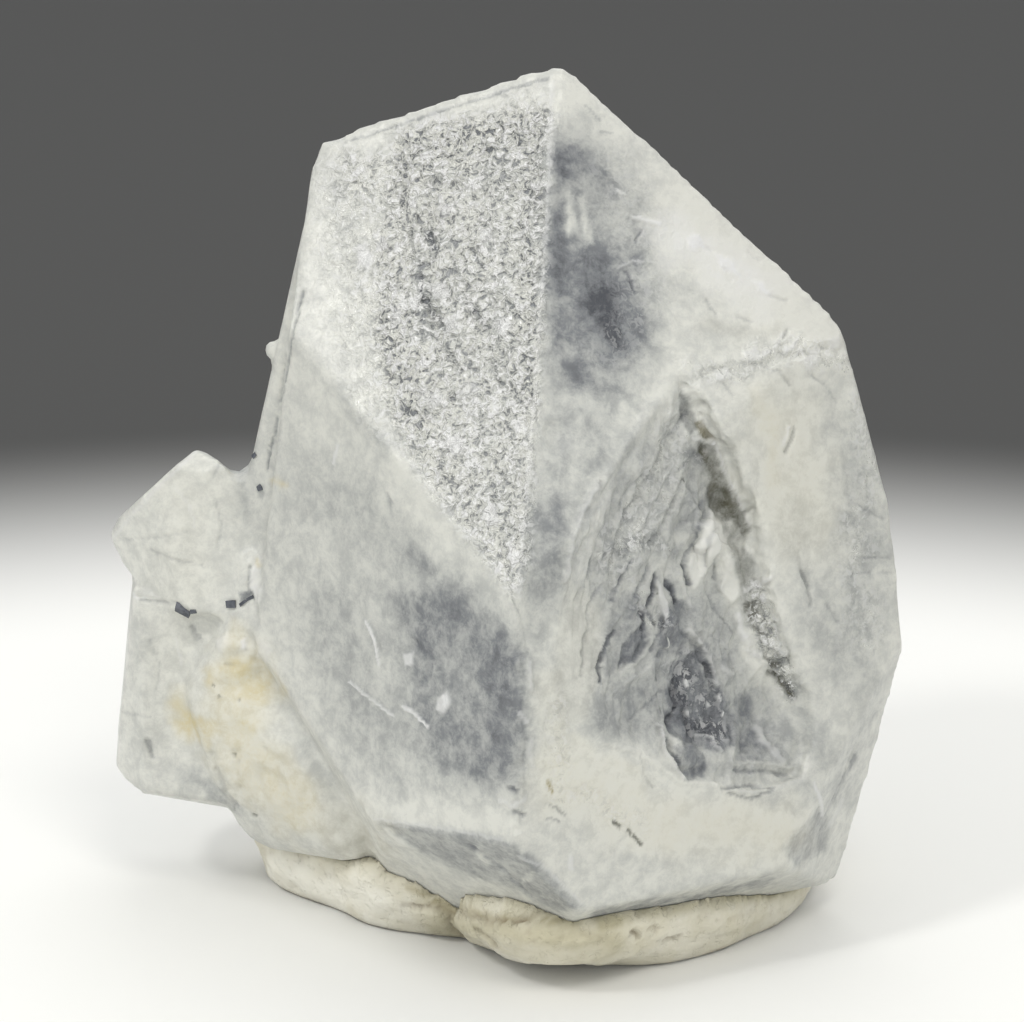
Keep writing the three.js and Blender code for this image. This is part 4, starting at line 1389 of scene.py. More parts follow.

# Facets, flakes and crevices of the broken hollow. Their tones are partly the stone's clear and milky zones
# and partly painted shade in the crevices and under the ledges, crests and rims, which strengthens the
# relief.
HOLLOW = {
    "upper drape": facet(
        (650, 400), (684, 390), (698, 440), (706, 476), (708, 508), (700, 535), (684, 558), (676, 575),
        (655, 566), (630, 575), (600, 578), (580, 592), (566, 580), (572, 535), (592, 490), (622, 455),
        fade=12, clear=0.04, lift=0.06,
    ),
    "drape's deep side": cloud((694, 450), (700, 490), (694, 525), width=34, clear=0.16),
    "drape's lower crinkles": cloud((625, 545), (650, 540), (670, 550), width=30, clear=0.08, frost=0.4),
    "drape's lit band": stroke(
        (604, 500), (588, 540), (578, 575), width=16, clear=-0.1, white=0.1, lift=0.05
    ),
    "drape groove 1": stroke((662, 450), (640, 490), (622, 520), (610, 560), width=6, lift=-0.2, clear=0.1),
    "drape groove 2": stroke((684, 480), (664, 520), (648, 545), width=6, lift=-0.2, clear=0.1),
    "drape crest": stroke((672, 462), (650, 505), (634, 530), width=6, lift=0.14, white=0.12),
    "left slope": facet(
        (566, 580), (582, 592), (598, 600), (602, 640), (596, 690), (588, 720), (556, 730), (556, 640),
        fade=12, clear=0.06, stain=0.06,
    ),
    "left lip": stroke((600, 482), (584, 508), (572, 540), (565, 580), width=6, white=0.2, lift=0.14),
    "left crease": stroke((600, 586), (588, 606), (584, 640), (581, 676), width=4, lift=-0.1, clear=0.2),
    "fallen leaf": facet(
        (612, 600), (632, 590), (645, 612), (636, 628), (622, 646), (616, 668), (604, 680), (602, 650),
        fade=4, clear=0.14, lift=0.1,
    ),
    "leaf's crescent": stroke(
        (613, 631), (604, 646), (598, 664), (600, 682), width=5, lift=-0.16, clear=0.5
    ),
    "dark wedge": facet(
        (618, 668), (621, 646), (634, 629), (643, 622), (646, 636), (643, 652), (634, 660),
        fade=6, clear=0.42, lift=-0.14,
    ),
    "leaf's right rim": stroke(
        (650, 612), (652, 636), (643, 656), (622, 672), width=6, lift=0.12, clear=-0.1
    ),
    "fibre gap 1": stroke((654, 576), (652, 594), (648, 606), width=6, lift=-0.25, clear=0.6),
    "fibre gap 2": stroke((668, 580), (672, 592), (676, 602), width=5, lift=-0.22, clear=0.6),
    "fibre gap 3": stroke((640, 612), (643, 630), width=6, lift=-0.2, clear=0.6),
    "fibre gap 4": stroke((682, 566), (688, 584), width=4.5, lift=-0.2, clear=0.5),
    "fibre gap 5": stroke((648, 612), (654, 624), width=6, lift=-0.15, clear=0.35),
    "bright fibre": facet(
        (655, 578), (661, 584), (670, 612), (667, 620), (659, 604), fade=3, lift=0.16, white=0.55
    ),
    "bright fibre 2": stroke((636, 596), (642, 612), width=4, lift=0.12, white=0.4),
    "centre shard": facet(
        (672, 598), (685, 600), (688, 618), (684, 655), (656, 656), (660, 630),
        fade=8, clear=0.26, lift=-0.1,
    ),
    "grey slope": facet(
        (686, 590), (700, 580), (718, 586), (724, 604), (738, 626), (742, 660), (724, 664), (708, 655),
        (700, 642), (688, 622),
        fade=7, clear=0.1, lift=0.05,
    ),
    "white crest": stroke((688, 629), (700, 642), (708, 656), (720, 687), width=4, lift=0.2, white=0.5),
    # Painted shade under the white crest.
    "under the white crest": stroke(
        (684, 634), (696, 648), (704, 664), (714, 690), width=5, lift=-0.12, clear=0.14
    ),
    "left bowl": facet(
        (600, 694), (622, 672), (650, 658), (678, 662), (678, 700), (664, 722), (650, 730), (620, 738),
        (592, 736), (590, 712),
        fade=40, clear=0.2, lift=-0.06,
    ),
    "dark core": facet(
        (674, 664), (700, 650), (712, 668), (722, 690), (734, 716), (736, 745), (716, 753), (700, 744),
        (684, 742), (668, 722), (672, 690),
        fade=10, clear=0.42, lift=-0.16,
    ),
    "core's darkest side": cloud((680, 690), (690, 720), (712, 730), width=30, clear=0.2),
    "core step 1": stroke((676, 680), (677, 704), (672, 720), width=4.5, lift=-0.2, clear=0.2),
    "core step 2": stroke((700, 664), (710, 690), width=4.5, lift=0.12, clear=-0.2),
    "core step 3": stroke((686, 712), (692, 732), width=4.5, lift=-0.2, clear=0.3),
    "core crumb 1": stroke((687, 681), (688, 686), width=5, white=0.9, lift=0.1),
    "core crumb 2": stroke((689, 711), (690, 714), width=5, white=0.9, lift=0.1),
    "core crumb 3": stroke((710, 703), (711, 706), width=4.5, white=0.7, lift=0.08),
    "core crumb 4": stroke((719, 697), (720, 700), width=5, white=0.9, lift=0.1),
    "core crumb 5": stroke((724, 713), (724, 715), width=4.5, white=0.8, lift=0.1),
    "core shards": stroke((700, 732), (712, 736), (722, 750), width=4.5, lift=0.14, white=0.35),
    "core's right end": facet(
        (734, 700), (752, 690), (758, 735), (766, 762), (742, 762), (736, 745),
        fade=10, clear=0.3, lift=-0.08,
    ),
    "tablet": facet(
        (674, 746), (700, 744), (706, 758), (694, 768), (676, 766), fade=4, clear=0.3, lift=0.12
    ),
    # Painted shade under the tablet.
    "under the tablet": facet(
        (682, 768), (696, 768), (706, 760), (706, 776), (688, 781), fade=5, clear=0.44, lift=-0.1
    ),
    "left rim of the core": stroke(
        (652, 721), (662, 726), (665, 744), (672, 762), (682, 778), width=4, lift=0.2, white=0.6
    ),
    # Painted shade inside the core's left rim.
    "inside the left rim": stroke((668, 738), (673, 756), (683, 774), width=5, lift=-0.14, clear=0.34),
    "lavender slope": facet(
        (756, 690), (772, 690), (788, 716), (801, 745), (798, 766), (776, 764), (762, 748), (757, 720),
        fade=10, clear=0.14, lift=0.04,
    ),
    "lavender flecks": stroke(
        (758, 728), (764, 744), (774, 752), (782, 762), width=9, white=0.3, lift=0.08
    ),
    "lower slope": facet(
        (706, 764), (740, 764), (800, 770), (818, 792), (814, 802), (790, 820), (766, 808), (740, 796),
        (716, 784),
        fade=12, clear=0.1,
    ),
    "ledge under the core": stroke((732, 764), (760, 762), (790, 768), width=5, lift=0.12, clear=-0.08),
    # Painted shade under the ledge.
    "under that ledge": stroke((734, 771), (766, 771), (786, 775), width=5, lift=-0.12, clear=0.2),
    "lower lip": stroke((600, 742), (640, 752), (680, 782), (716, 784), width=6, lift=0.08, clear=-0.1),
    "step wall, top": facet(
        (680, 388), (690, 402), (698, 428), (688, 434), (680, 412), fade=4, olive=0.3, clear=0.3, lift=-0.1
    ),
    "step wall, rusty corner": facet(
        (695, 422), (703, 422), (716, 441), (700, 438), fade=4, olive=0.6, stain=0.5, clear=0.2, lift=-0.1
    ),
    "step wall": facet(
        (697, 442), (711, 446), (722, 470), (734, 492), (750, 530), (742, 536), (732, 522), (722, 522),
        (707, 508), (706, 494), (711, 480), (703, 460),
        fade=6, olive=0.62, clear=0.25, lift=-0.12,
    ),
    "step wall, darkest": cloud((700, 448), (714, 486), (732, 516), width=24, olive=0.26, clear=0.12),
    "step wall, foot": facet(
        (722, 522), (746, 532), (742, 546), (754, 562), (756, 582), (742, 584), (732, 560),
        fade=8, olive=0.35, clear=0.18,
    ),
    "white notch": stroke((692, 438), (706, 440), (714, 444), width=4, white=0.6, lift=0.1),
    "rim of the step": stroke(
        (712, 440), (724, 470), (738, 496), (750, 526), width=4.5, white=0.45, lift=0.1
    ),
    "bright flake": facet(
        (708, 509), (721, 526), (724, 542), (712, 556), (704, 574), (692, 590), (684, 566), (692, 552),
        (703, 538),
        fade=3.5, clear=-0.2, white=0.3, lift=0.2,
    ),
    "bright flake's break": stroke((712, 530), (708, 546), (703, 564), width=4, lift=-0.15, clear=0.35),
    "bright flake's dark side": stroke(
        (702, 512), (698, 534), (686, 552), (680, 566), width=4, lift=-0.12, clear=0.22
    ),
    "second flake": facet(
        (724, 556), (731, 552), (735, 570), (739, 594), (730, 604), (716, 588), (722, 574),
        fade=3.5, clear=-0.15, white=0.15, lift=0.15,
    ),
    "between the flakes": stroke((716, 560), (714, 580), width=5, lift=-0.18, clear=0.25),
    "comb shadow": cloud((742, 570), (752, 610), (770, 650), (792, 694), width=22, olive=0.16, clear=0.1),
    "fold 1": stroke((690, 410), (674, 432), (660, 446), width=4, lift=-0.08, clear=0.12),
    "fold 2": stroke((694, 452), (684, 466), (670, 474), width=4, lift=-0.08, clear=0.1),
    "fold 3": stroke((646, 470), (630, 486), (618, 504), width=4, lift=-0.08, clear=0.1),
    "fold 4": stroke((700, 500), (688, 520), (676, 530), width=4, lift=-0.09, clear=0.12),
    "fold 5": stroke((620, 520), (612, 544), (600, 562), width=4, lift=-0.08, clear=0.1),
    "fold 6": stroke((664, 508), (650, 520), (640, 536), width=4, lift=0.08, white=0.14),
    "fold 7": stroke((640, 448), (622, 474), width=4, lift=0.07, white=0.12),
    "fold 8": stroke((592, 556), (584, 580), (576, 600), width=4, lift=-0.08, clear=0.14),
    "fibre shadow 1": stroke((630, 560), (618, 584), (612, 600), width=5, lift=-0.12, clear=0.26),
    "fibre shadow 2": stroke((648, 566), (640, 584), (632, 596), width=5, lift=-0.12, clear=0.24),
    "fibre shadow 3": stroke((664, 616), (658, 634), (650, 650), width=5, lift=-0.1, clear=0.2),
    "fibre light 1": stroke((624, 566), (614, 588), width=4, lift=0.1, white=0.3),
    "fibre light 2": stroke((676, 572), (684, 590), (690, 606), width=4, lift=0.1, white=0.3),
    "slope line 1": stroke((706, 592), (714, 612), (730, 630), width=4, lift=-0.07, clear=0.14),
    "slope line 2": stroke((720, 640), (738, 664), (752, 690), width=4, lift=0.07, white=0.16),
    "bowl line 1": stroke((606, 700), (622, 684), (644, 672), width=4, lift=0.06, white=0.14),
    "bowl line 2": stroke((630, 720), (648, 704), (662, 690), width=4, lift=-0.07, clear=0.14),
    "comb hollow 1": facet(
        (742, 604), (758, 600), (762, 614), (750, 622), fade=4, olive=0.55, clear=0.15, lift=-0.14
    ),
    "comb hollow 2": stroke((752, 628), (764, 634), width=6, olive=0.4, clear=0.1, lift=-0.12),
    "comb hollow 3": stroke((766, 658), (780, 666), width=7, olive=0.55, clear=0.1, lift=-0.14),
    "comb hollow 4": facet(
        (768, 674), (780, 676), (796, 698), (788, 696), fade=4, olive=0.9, clear=0.25, lift=-0.18
    ),
    "comb chip 1": stroke((738, 612), (742, 632), (750, 644), width=7, white=0.55, lift=0.14),
    "comb chip 2": stroke((744, 590), (758, 584), (770, 578), width=6, white=0.5, lift=0.14),
    "comb chip 3": stroke((762, 640), (776, 648), (784, 656), width=7, white=0.5, lift=0.14),
    "comb chip 4": stroke((748, 650), (760, 656), width=6, white=0.45, lift=0.12),
    "comb chip 5": stroke((720, 668), (734, 674), width=5, white=0.3, lift=0.08),
}

# The stained milky mass and the small crystals at the left.
LEFT_SIDE = {
    "milky mass": cloud((240, 620), (228, 690), (245, 780), width=110, sugar=0.8),
    "milky foot": cloud((270, 770), (330, 820), (370, 850), width=90, sugar=0.7, stain=0.16),
    "milky flesh": cloud((240, 670), (250, 760), (290, 810), width=100, clear=-0.1, stain=0.3),
    "olive stain 1": cloud((176, 700), (184, 722), width=34, stain=0.5),
    "olive stain 2": cloud((190, 724), (206, 734), width=40, stain=0.55),
    "olive stain 3": cloud((232, 672), (262, 688), width=50, stain=0.4),
    "olive stain 4": cloud((206, 668), (208, 682), width=24, stain=0.35),
    "olive stain 5": cloud((268, 690), (278, 698), width=30, stain=0.3),
    "olive stain 6": cloud((240, 626), (236, 640), width=34, stain=0.3),
    "olive stain 7": cloud((244, 724), (250, 728), width=22, stain=0.35),
    "warm blush": cloud((215, 690), (225, 750), width=70, stain=0.22),
    "rusty spot 1": cloud((274, 480), (284, 484), width=14, stain=0.5),
    "rusty spot 2": cloud((256, 562), (258, 566), width=9, stain=0.6),
    "pinhole 1": stroke((213, 684), (214, 686), width=3, olive=0.6, lift=-0.06),
    "pinhole 2": stroke((219, 696), (220, 698), width=3, olive=0.6, lift=-0.06),
    "pinhole 3": stroke((238, 699), (240, 701), width=3, olive=0.6, lift=-0.06),
    "pinhole 4": stroke((233, 755), (234, 757), width=3.5, olive=0.6, lift=-0.08),
    "pinhole 5": stroke((254, 814), (257, 816), width=3.5, olive=0.6, lift=-0.08),
    "white knob": facet((240, 640), (246, 638), (247, 650), (241, 650), fade=3, white=0.9, lift=0.14),
    "white rind": facet(
        (250, 570), (258, 562), (262, 590), (258, 602), (250, 590), fade=5, white=0.5, clear=-0.1, lift=0.12
    ),
    "rind's edge": stroke((250, 566), (249, 588), (256, 602), width=3.5, clear=0.25, lift=-0.1),
    "tip's lit lower edge": stroke((112, 560), (126, 586), (138, 600), width=5, white=0.5, lift=0.03),
    "tip's inner line": stroke((118, 540), (160, 537), (186, 532), width=3.5, clear=0.1, lift=-0.04),
    "tip's upper line": stroke((222, 458), (212, 478), width=4, clear=0.12, lift=-0.04),
    "tip's right shade": cloud((236, 480), (246, 520), width=22, clear=0.16),
    "lower block line": stroke((122, 712), (150, 718), width=3.5, clear=0.12, lift=-0.04),
    "lower block pit": stroke((148, 742), (152, 758), width=7, clear=0.24, lift=-0.1),
    "lower block shade": cloud((180, 772), (228, 800), width=44, clear=0.24),
    "lower block, right": cloud((190, 630), (210, 700), width=26, clear=0.06),
    "lower block": cloud((150, 640), (150, 740), width=90, clear=0.1),
    "foot of the tip": stroke((140, 600), (176, 604), width=4, clear=0.16, lift=-0.08),
    "cavity": stroke((192, 628), (198, 638), width=8, clear=0.2, lift=-0.12),
    "grey facet by the grains": facet((239, 592), (250, 590), (252, 599), (241, 603), fade=3, clear=0.5),
    "sugary knob 1": facet((214, 640), (226, 634), (232, 646), (220, 652), fade=4, white=0.3, lift=0.1),
    "sugary knob 2": facet((262, 640), (272, 650), (268, 664), (258, 656), fade=4, white=0.3, lift=0.1),
    "sugary dip 1": stroke((226, 664), (236, 668), (246, 664), width=6, clear=0.12, lift=-0.1),
    "sugary dip 2": stroke((210, 752), (220, 760), width=6, clear=0.1, lift=-0.08),
    "side edge light": stroke((196, 452), (168, 478), (132, 514), (112, 540), width=5, white=0.3),
    "tip fold 1": stroke((176, 488), (190, 506), (196, 528), width=4, white=0.25, lift=0.04),
    "tip fold 2": stroke((150, 550), (176, 560), (204, 566), width=4, clear=0.14, lift=-0.05),
    "tip fold 3": stroke((214, 500), (222, 524), (218, 548), width=4, clear=0.12, lift=-0.05),
    "block fold 1": stroke((150, 640), (160, 668), (156, 690), width=4, clear=0.12, lift=-0.05),
    "block fold 2": stroke((176, 640), (182, 664), width=4, white=0.25, lift=0.04),
    "mass over the block": stroke((216, 770), (226, 792), (236, 806), width=6, clear=0.1, lift=-0.1),
}

# Folds, holes and dark brown marks of the putty, with painted shade in its middle, at its right and along
# the seam with the crystal, and painted light at its left.
PUTTY_MARKS = {
    "long crease": stroke(
        (404, 906), (440, 908), (463, 915), (494, 921), (527, 920), width=6, lift=-0.22, olive=0.5
    ),
    "fold": stroke((446, 911), (452, 927), (467, 939), width=6, lift=-0.3, olive=0.4),
    "fold's lip": stroke((455, 914), (462, 926), (476, 936), width=9, lift=0.16),
    "second fold": stroke((478, 930), (491, 938), (497, 948), width=6, lift=-0.26, olive=0.4),
    "second fold's lip": stroke((486, 928), (500, 936), (506, 946), width=9, lift=0.14),
    "hole 1": stroke((634, 932), (637, 937), width=8, lift=-0.28, olive=0.6),
    "hole 2": stroke((650, 928), (657, 930), width=8, lift=-0.14, olive=0.3),
    "hole 3": stroke((666, 942), (678, 939), width=5, lift=-0.18, olive=0.4),
    "crack": stroke((526, 926), (532, 945), width=4, lift=-0.1, olive=0.2),
    "left wrinkle": stroke((262, 850), (276, 862), width=4, lift=-0.1),
    # Painted shade along the seam with the crystal.
    "shaded seam": stroke((405, 886), (440, 903), (500, 918), (560, 920), width=8, stain=0.4, olive=0.2),
    # Painted shade on the putty's right.
    "pressed right": stroke((600, 922), (690, 908), (770, 893), width=16, stain=0.5),
    "shaded middle": cloud((440, 925), (540, 932), (610, 940), width=70, stain=0.75),
    "stained left": cloud((380, 880), (440, 905), width=40, stain=0.35),
    "pinhole": stroke((300, 862), (303, 863), width=4, lift=-0.1, olive=0.5),
    "lit left": cloud((280, 868), (320, 890), (380, 906), width=80, white=0.95),
    "wrinkle 1": stroke((320, 876), (342, 884), (366, 886), width=5, lift=-0.1, olive=0.12),
    "wrinkle 2": stroke((288, 886), (310, 900), (336, 908), width=5, lift=-0.08),
    "wrinkle 3": stroke((560, 936), (584, 934), (606, 940), width=5, lift=-0.1, olive=0.12),
    "wrinkle 4": stroke((700, 916), (724, 920), (750, 914), width=5, lift=-0.1, olive=0.12),
    "wrinkle 5": stroke((730, 934), (752, 930), (770, 920), width=5, lift=-0.08),
    "dimple 1": cloud((330, 892), (360, 900), width=26, lift=-0.1),
    "dimple 2": cloud((560, 938), (590, 944), width=30, lift=-0.1),
    "swell 1": cloud((300, 880), (305, 884), width=40, lift=0.12),
    "swell 2": cloud((700, 930), (705, 930), width=50, lift=0.12, stain=0.2),
}

# The small bead on the slab's edge, which stays round.
BEAD = (270, 350)
BEAD_REACH = 16.0

# Corners that are worn round: where they show, how far the wear reaches, and how strong it is.
WORN_CORNERS = {
    "upper left": ((320, 142), 26.0, 18),
    "apex": ((556, 68), 20.0, 10),
    "right shoulder": ((848, 340), 30.0, 14),
    "tip of the side crystal": ((196, 448), 24.0, 42),
    "left corner of the side crystal": ((110, 540), 24.0, 42),
    "foot of the side crystal": ((118, 770), 34.0, 18),
}


@dataclass
class QuartzCrystals:
    """The big crystal with its side crystals and the milky mass that joins them."""

    voxel: float = 0.5
    sharp: float = 14.0
    base_clear: float = 0.1
    worn_angle: float = 11.0
    frame: dict = field(default_factory=dict)
    camera: PhotoCamera = field(default_factory=PhotoCamera)

    def build(self, material: bpy.types.Material) -> tuple[bpy.types.Object, BVHTree]:
        """Makes the piece.

        Args:
            material: Its finish.

        Returns:
            The piece, and a search tree of its skin in the crystal's frame.
        """
        skin = Skin(self.frame["nodes"]["quartz_crystals"], self.voxel, self.sharp)
        skin.refine(Marker(skin, self.camera).shown > 0.0)
        marks = {**SCRATCHES_AND_HIGHLIGHTS, **HOLLOW, **LEFT_SIDE}
        marker = Marker(skin, self.camera)
        broken = (self._hollow_share(marker.places) > 0.02) & (marker.shown > 0.0)
        skin.refine(marker.beside(marks, reach=3.0) | broken)
        skin.soften(1, 0.35)
        self._wear_edges(skin)
        self._wear_corners(skin)
        marker = Marker(skin, self.camera)
        layers, height = marker.lay({**DEPTHS_AND_PAINTED_LIGHT, **FROST, **marks})
        layers[Layer.CLEAR] += self.base_clear + self._unseen_clouds(marker.places, marker.outs)
        height += self._relief(marker.places, layers)
        skin.lift(height)
        skin.layers = {layer: np.clip(values, -0.5, 1.3) for layer, values in layers.items()}
        tree = skin.tree()
        piece = skin.finish("quartz_crystal_mass", material)
        return piece, tree

    def _wear_edges(self, skin: Skin) -> None:
        """Rounds the sharp edges a little, but for the small bead beside the slab."""
        seen = self.camera.picture(skin.points())
        bead = np.linalg.norm(seen - np.array(BEAD), axis=1) < BEAD_REACH
        skin.soften(4, 0.5, skin.beside_edges(self.worn_angle) & ~bead)

    def _wear_corners(self, skin: Skin) -> None:
        """Rounds the corners that are worn in the photograph."""
        seen = self.camera.picture(skin.points())
        for corner, reach, times in WORN_CORNERS.values():
            near = np.linalg.norm(seen - np.array(corner), axis=1) < reach
            skin.soften(times, 0.5, near)

    def _hollow_share(self, places: np.ndarray) -> np.ndarray:
        """Gives how deep each vertex lies in the broken hollow.

        Args:
            places: Vertices in millimetres.

        Returns:
            Shares from 0, on the outer faces, to 1.
        """
        planes = (RIGHT_PYRAMID, RIGHT_PLATE, LOW_FRONT)
        sunk = np.min([f.reach - places @ np.array(f.axes()[2]) for f in planes], axis=0)
        across, up, _ = HOLLOW_FLOOR.axes()
        u, v = places @ np.array(across), places @ np.array(up)
        near = smooth_step(0.0, 1.0, 9.5 - np.hypot((u + 1.0) * 1.1, (v - 16.5) * 0.78))
        return smooth_step(0.1, 0.3, sunk) * near * (places[:, 1] < 0)

    def _unseen_clouds(self, places: np.ndarray, outs: np.ndarray) -> np.ndarray:
        """Gives clear depths to the sides that the photograph doesn't show.

        Args:
            places: Vertices in millimetres.
            outs: Directions out of the skin.

        Returns:
            What is added to the clear layer.
        """
        away = smooth_step(-0.1, 0.35, outs[:, 1])
        clouds = smooth_step(-0.3, 0.7, noise_at(places, 9.0, 5.3, 4))
        return away * (0.1 + 0.26 * clouds)

    def _relief(self, places: np.ndarray, layers: dict[Layer, np.ndarray]) -> np.ndarray:
        """Works out the small relief of each part of the skin.

        Args:
            places: Vertices in millimetres.
            layers: The layers that the marks laid down.

        Returns:
            How far each vertex is lifted, in millimetres.
        """
        hollow = self._hollow_share(places)
        across, up, out = (np.array(a) for a in HOLLOW_FLOOR.axes())
        u, v, w = places @ across, places @ up, places @ out
        lean = 0.5
        sway = 0.55 * noise_at(places, 2.2, 51.0, 2)
        side = u * math.cos(lean) - v * math.sin(lean) + sway
        along = u * math.sin(lean) + v * math.cos(lean)
        drapes = np.stack([side, along * 0.24, w * 0.4], axis=1)
        flutes = ridges_at(drapes, 1.5, 2.7) - 0.6
        fine = ridges_at(drapes, 0.6, 9.1) - 0.6
        crumbs = noise_at(places, 0.7, 61.0, 3)
        worn = noise_at(places, 2.4, 12.5, 3)
        pits = np.minimum(noise_at(places, 0.8, 31.0, 3), 0.08)
        grains = noise_at(places, 0.8, 44.0, 3)
        height = hollow * (0.26 * flutes + 0.17 * fine + 0.1 * crumbs)
        height += 0.02 * worn
        height += 0.3 * np.clip(layers[Layer.FROST], 0, 1) * pits
        height += 0.24 * np.clip(layers[Layer.SUGAR], 0, 1) * grains
        return height


@dataclass
class PuttyBase:
    """The lump of putty that the crystal is pushed into."""

    voxel: float = 0.28
    meeting_gap: float = 0.03
    meeting_reach: float = 0.75
    frame: dict = field(default_factory=dict)
    camera: PhotoCamera = field(default_factory=PhotoCamera)

    def build(self, material: bpy.types.Material, crystals: BVHTree) -> bpy.types.Object:
        """Makes the piece.

        Args:
            material: Its finish.
            crystals: Search tree of the crystals' skin.

        Returns:
            The piece.
        """
        skin = Skin(self.frame["nodes"]["putty_base"], self.voxel, 0.0)
        skin.soften(2, 0.5)
        self._meet(skin, crystals)
        marker = Marker(skin, self.camera)
        layers, height = marker.lay(PUTTY_MARKS)
        places = marker.places
        foot = smooth_step(0.0, 0.9, places[:, 2])
        contact = 1.0 - smooth_step(0.0, 0.35, places[:, 2])
        layers[Layer.OLIVE] += 0.5 * contact * smooth_step(-0.2, 0.3, noise_at(places, 1.6, 3.3, 2))
        near = self._nearness(places, crystals)
        # Painted shade on the putty next to the crystals.
        layers[Layer.STAIN] += 0.4 * near
        height += 0.16 * noise_at(places, 2.6, 8.8, 3) + 0.14 * noise_at(places, 1.0, 18.1, 3)
        skin.lift(height * foot * (1.0 - near))
        for vert in skin.bm.verts:
            vert.co.z = max(vert.co.z, 0.0)
        skin.layers = {layer: np.clip(values, 0.0, 1.2) for layer, values in layers.items()}
        return skin.finish("putty_lump", material)

    def _nearness(self, places: np.ndarray, crystals: BVHTree) -> np.ndarray:
        """Gives how near each vertex lies to the crystals.

        Args:
            places: Vertices in millimetres.
            crystals: Search tree of the crystals' skin.

        Returns:
            Shares, 1 where they touch.
        """
        gaps = np.array([crystals.find_nearest(Vector(p))[3] for p in places])
        return 1.0 - smooth_step(0.1, 0.6, gaps)

    def _meet(self, skin: Skin, crystals: BVHTree) -> None:
        """Presses the putty against the crystals, because the solids keep a gap there.

        Args:
            skin: The putty's skin.
            crystals: Search tree of the crystals' skin.
        """
        for vert in skin.bm.verts:
            place, _, _, gap = crystals.find_nearest(vert.co)
            if vert.co.z > 0.6 and self.meeting_gap < gap < self.meeting_reach:
                share = 1.0 - smooth_step(0.35, self.meeting_reach, np.array([gap]))[0]
                reach = (gap - self.meeting_gap) / gap * share
                vert.co = vert.co.lerp(place, reach)


@dataclass(frozen=True)
class Grain:
    """A dark grain: where it shows in the photograph, and its sizes in pixels."""

    at: Pixel
    long: float
    wide: float
    thick: float
    lean: float


@dataclass
class DarkGrains:
    """The small dark mineral grains that sit on the left crystals."""

    camera: PhotoCamera = field(default_factory=PhotoCamera)
    grains: tuple[Grain, ...] = (
        Grain((183, 610), 19, 10, 8, -14),
        Grain((193, 611), 8, 4, 4, 10),
        Grain((232, 604), 12, 9, 7, 4),
        Grain((243, 603), 10, 4, 4, 40),
        Grain((250, 598), 9, 4, 4, 30),
        Grain((260, 488), 7, 7, 4, 20),
        Grain((236, 456), 7, 5, 3, 30),
    )

    def build(self, material: bpy.types.Material, crystals: BVHTree) -> bpy.types.Object:
        """Makes the grains as one joined mesh.

        Args:
            material: Their finish.
            crystals: Search tree of the crystals' skin.

        Returns:
            The piece.
        """
        draw = random.Random(5)
        bm = bmesh.new()
        for grain in self.grains:
            self._add(bm, grain, crystals, draw)
        bm.transform(Matrix.Scale(MM, 4) @ Matrix.Translation(AXIS_TO_MIDDLE))
        data = bpy.data.meshes.new("dark_grains")
        bm.to_mesh(data)
        bm.free()
        data.materials.append(material)
        piece = bpy.data.objects.new("dark_grains", data)
        bpy.context.scene.collection.objects.link(piece)
        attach(piece, "root")
        return piece

    def _add(self, bm: bmesh.types.BMesh, grain: Grain, crystals: BVHTree, draw: random.Random) -> None:
        """Adds one grain, half sunk into the skin.

        Args:
            bm: Mesh that it goes into.
            grain: The grain.
            crystals: Search tree of the crystals' skin.
            draw: Where its unevenness comes from.
        """
        place, out = self.camera.touch(grain.at, crystals)
        right, up, _ = self.camera.axes()
        lean = math.radians(grain.lean)
        along = right * math.cos(lean) + up * math.sin(lean)
        along = (along - out * along.dot(out)).normalized()
        turn = Matrix((along, out.cross(along), out)).transposed().to_4x4()
        half = 0.5 * self.camera.pixel
        size = Matrix.Diagonal((grain.long * half, grain.wide * half, grain.thick * half, 1.0))
        made = bmesh.ops.create_cube(bm, size=1.7, matrix=Matrix.Translation(place) @ turn @ size)
        for vert in made["verts"]:
            vert.co += Vector([draw.uniform(-0.04, 0.04) for _ in range(3)])


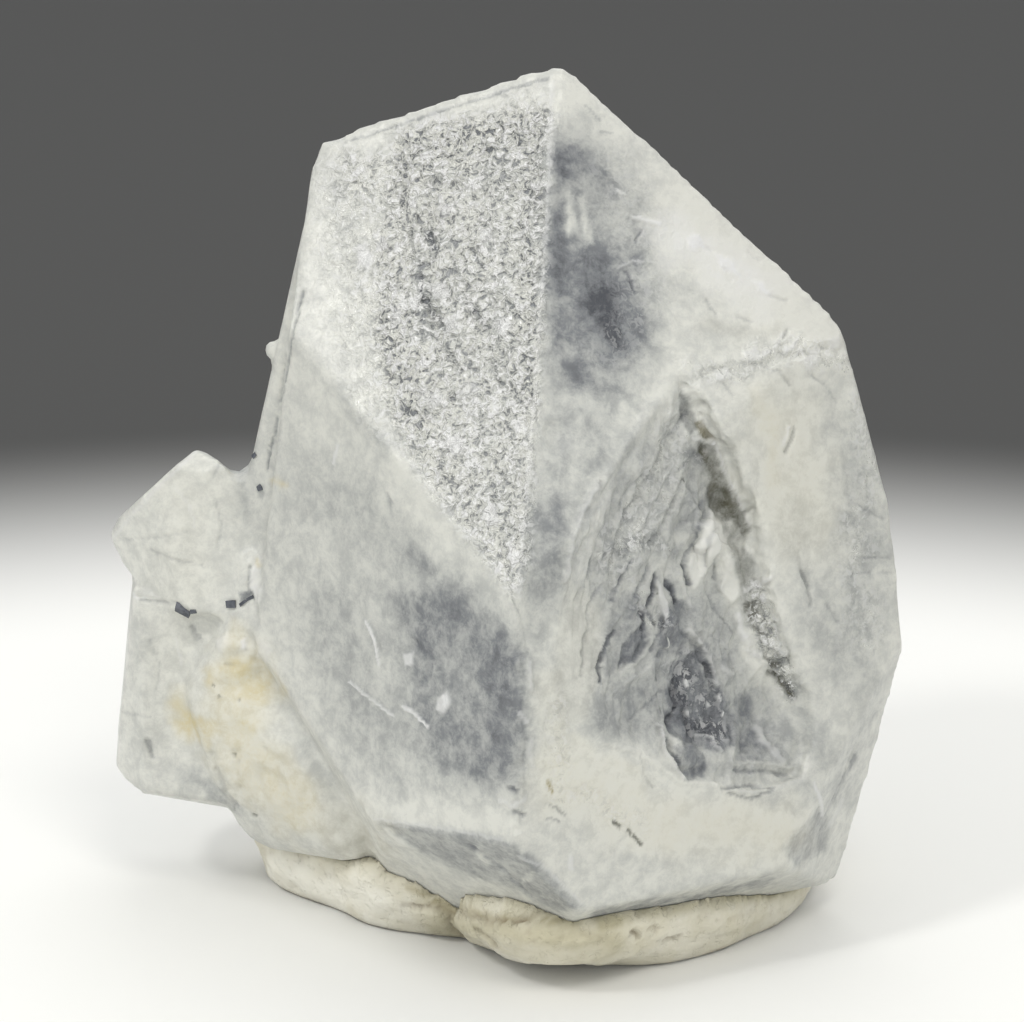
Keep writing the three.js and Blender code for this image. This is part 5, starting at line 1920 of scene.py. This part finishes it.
@dataclass
class Studio:
    """A pale floor, soft light and the photograph's camera."""

    floor_radius: float = 1.2
    pale: Colour = (0.86, 0.86, 0.83)
    far: Colour = (0.05, 0.05, 0.048)
    pale_middle: tuple[float, float, float] = (0.0, -50.0, 0.0)
    pale_reach: float = 92.0
    far_reach: float = 136.0

    def build(self, camera: PhotoCamera) -> None:
        """Sets the stage.

        Args:
            camera: The photograph's camera.
        """
        camera.build()
        self._floor()
        self._sky()
        middle = Vector((0.0, 0.0, 0.018))
        self._lamp("key", middle, azimuth=20, height=55, distance=0.34, size=0.10, watts=0.24, warm=0.8)
        self._lamp("glint", middle, azimuth=-55, height=48, distance=0.34, size=0.05, watts=0.26, warm=0.2)
        self._lamp("top", middle, azimuth=170, height=62, distance=0.36, size=0.22, watts=0.24, warm=0.3)
        scene = bpy.context.scene
        scene.cycles.max_bounces = 3
        scene.cycles.diffuse_bounces = 2
        scene.cycles.glossy_bounces = 2
        scene.cycles.transmission_bounces = 2
        scene.view_settings.view_transform = "Standard"
        scene.view_settings.look = "None"

    def _lamp(
        self,
        name: str,
        middle: Vector,
        azimuth: float,
        height: float,
        distance: float,
        size: float,
        watts: float,
        warm: float,
    ) -> None:
        """Adds a soft square lamp that looks at the specimen.

        Args:
            name: Its name.
            middle: What it looks at, in metres.
            azimuth: Degrees from the front towards the right.
            height: Degrees above the floor.
            distance: How far away it is, in metres.
            size: Its side, in metres.
            watts: Its power.
            warm: How warm its light is, from 0 to 1.
        """
        a, h = math.radians(azimuth), math.radians(height)
        way = Vector((math.sin(a) * math.cos(h), -math.cos(a) * math.cos(h), math.sin(h)))
        data = bpy.data.lights.new(name, "AREA")
        data.shape = "SQUARE"
        data.size = size
        data.energy = watts
        data.color = (1.0, 1.0 - 0.04 * warm, 1.0 - 0.12 * warm)
        lamp = bpy.data.objects.new(name, data)
        lamp.location = middle + way * distance
        lamp.rotation_euler = way.to_track_quat("Z", "Y").to_euler()
        bpy.context.scene.collection.objects.link(lamp)

    def _sky(self) -> None:
        """Gives the room an even pale light."""
        world = bpy.data.worlds.new("room")
        world.use_nodes = True
        back = world.node_tree.nodes["Background"]
        back.inputs["Color"].default_value = (0.97, 0.98, 1.0, 1.0)
        back.inputs["Strength"].default_value = 0.78
        bpy.context.scene.world = world

    def _floor(self) -> None:
        """Lays the floor, pale round the specimen and greyer far away."""
        material, tree, shader = new_material("pale_floor")
        place = tree.millimetres()
        length = tree.add("ShaderNodeVectorMath", operation="LENGTH")
        tree.give(length.inputs[0], tree.vector("SUBTRACT", place, self.pale_middle))
        far = tree.between(length.outputs["Value"], self.pale_reach, self.far_reach)
        colour = tree.mix(far, self.pale, self.far)
        tree.give(shader.inputs["Base Color"], colour)
        shader.inputs["Roughness"].default_value = 0.85
        bm = bmesh.new()
        bmesh.ops.create_circle(bm, cap_ends=True, segments=96, radius=self.floor_radius)
        data = bpy.data.meshes.new("floor")
        bm.to_mesh(data)
        bm.free()
        data.materials.append(material)
        floor = bpy.data.objects.new("floor", data)
        bpy.context.scene.collection.objects.link(floor)


def main() -> None:
    """Builds the specimen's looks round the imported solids."""
    logging.basicConfig(level=logging.INFO, format="%(message)s")
    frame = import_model()
    effects = Effects()
    camera = PhotoCamera()
    Studio().build(camera)
    quartz = QuartzFinish().build(effects)
    _, skin = QuartzCrystals(frame=frame, camera=camera).build(quartz)
    LOG.info("quartz_crystal_mass is in place")
    PuttyBase(frame=frame, camera=camera).build(PuttyFinish().build(effects), skin)
    LOG.info("putty_lump is in place")
    DarkGrains(camera=camera).build(DarkGrainFinish().build(effects), skin)
    LOG.info("dark_grains are in place")


if __name__ == "__main__":
    main()
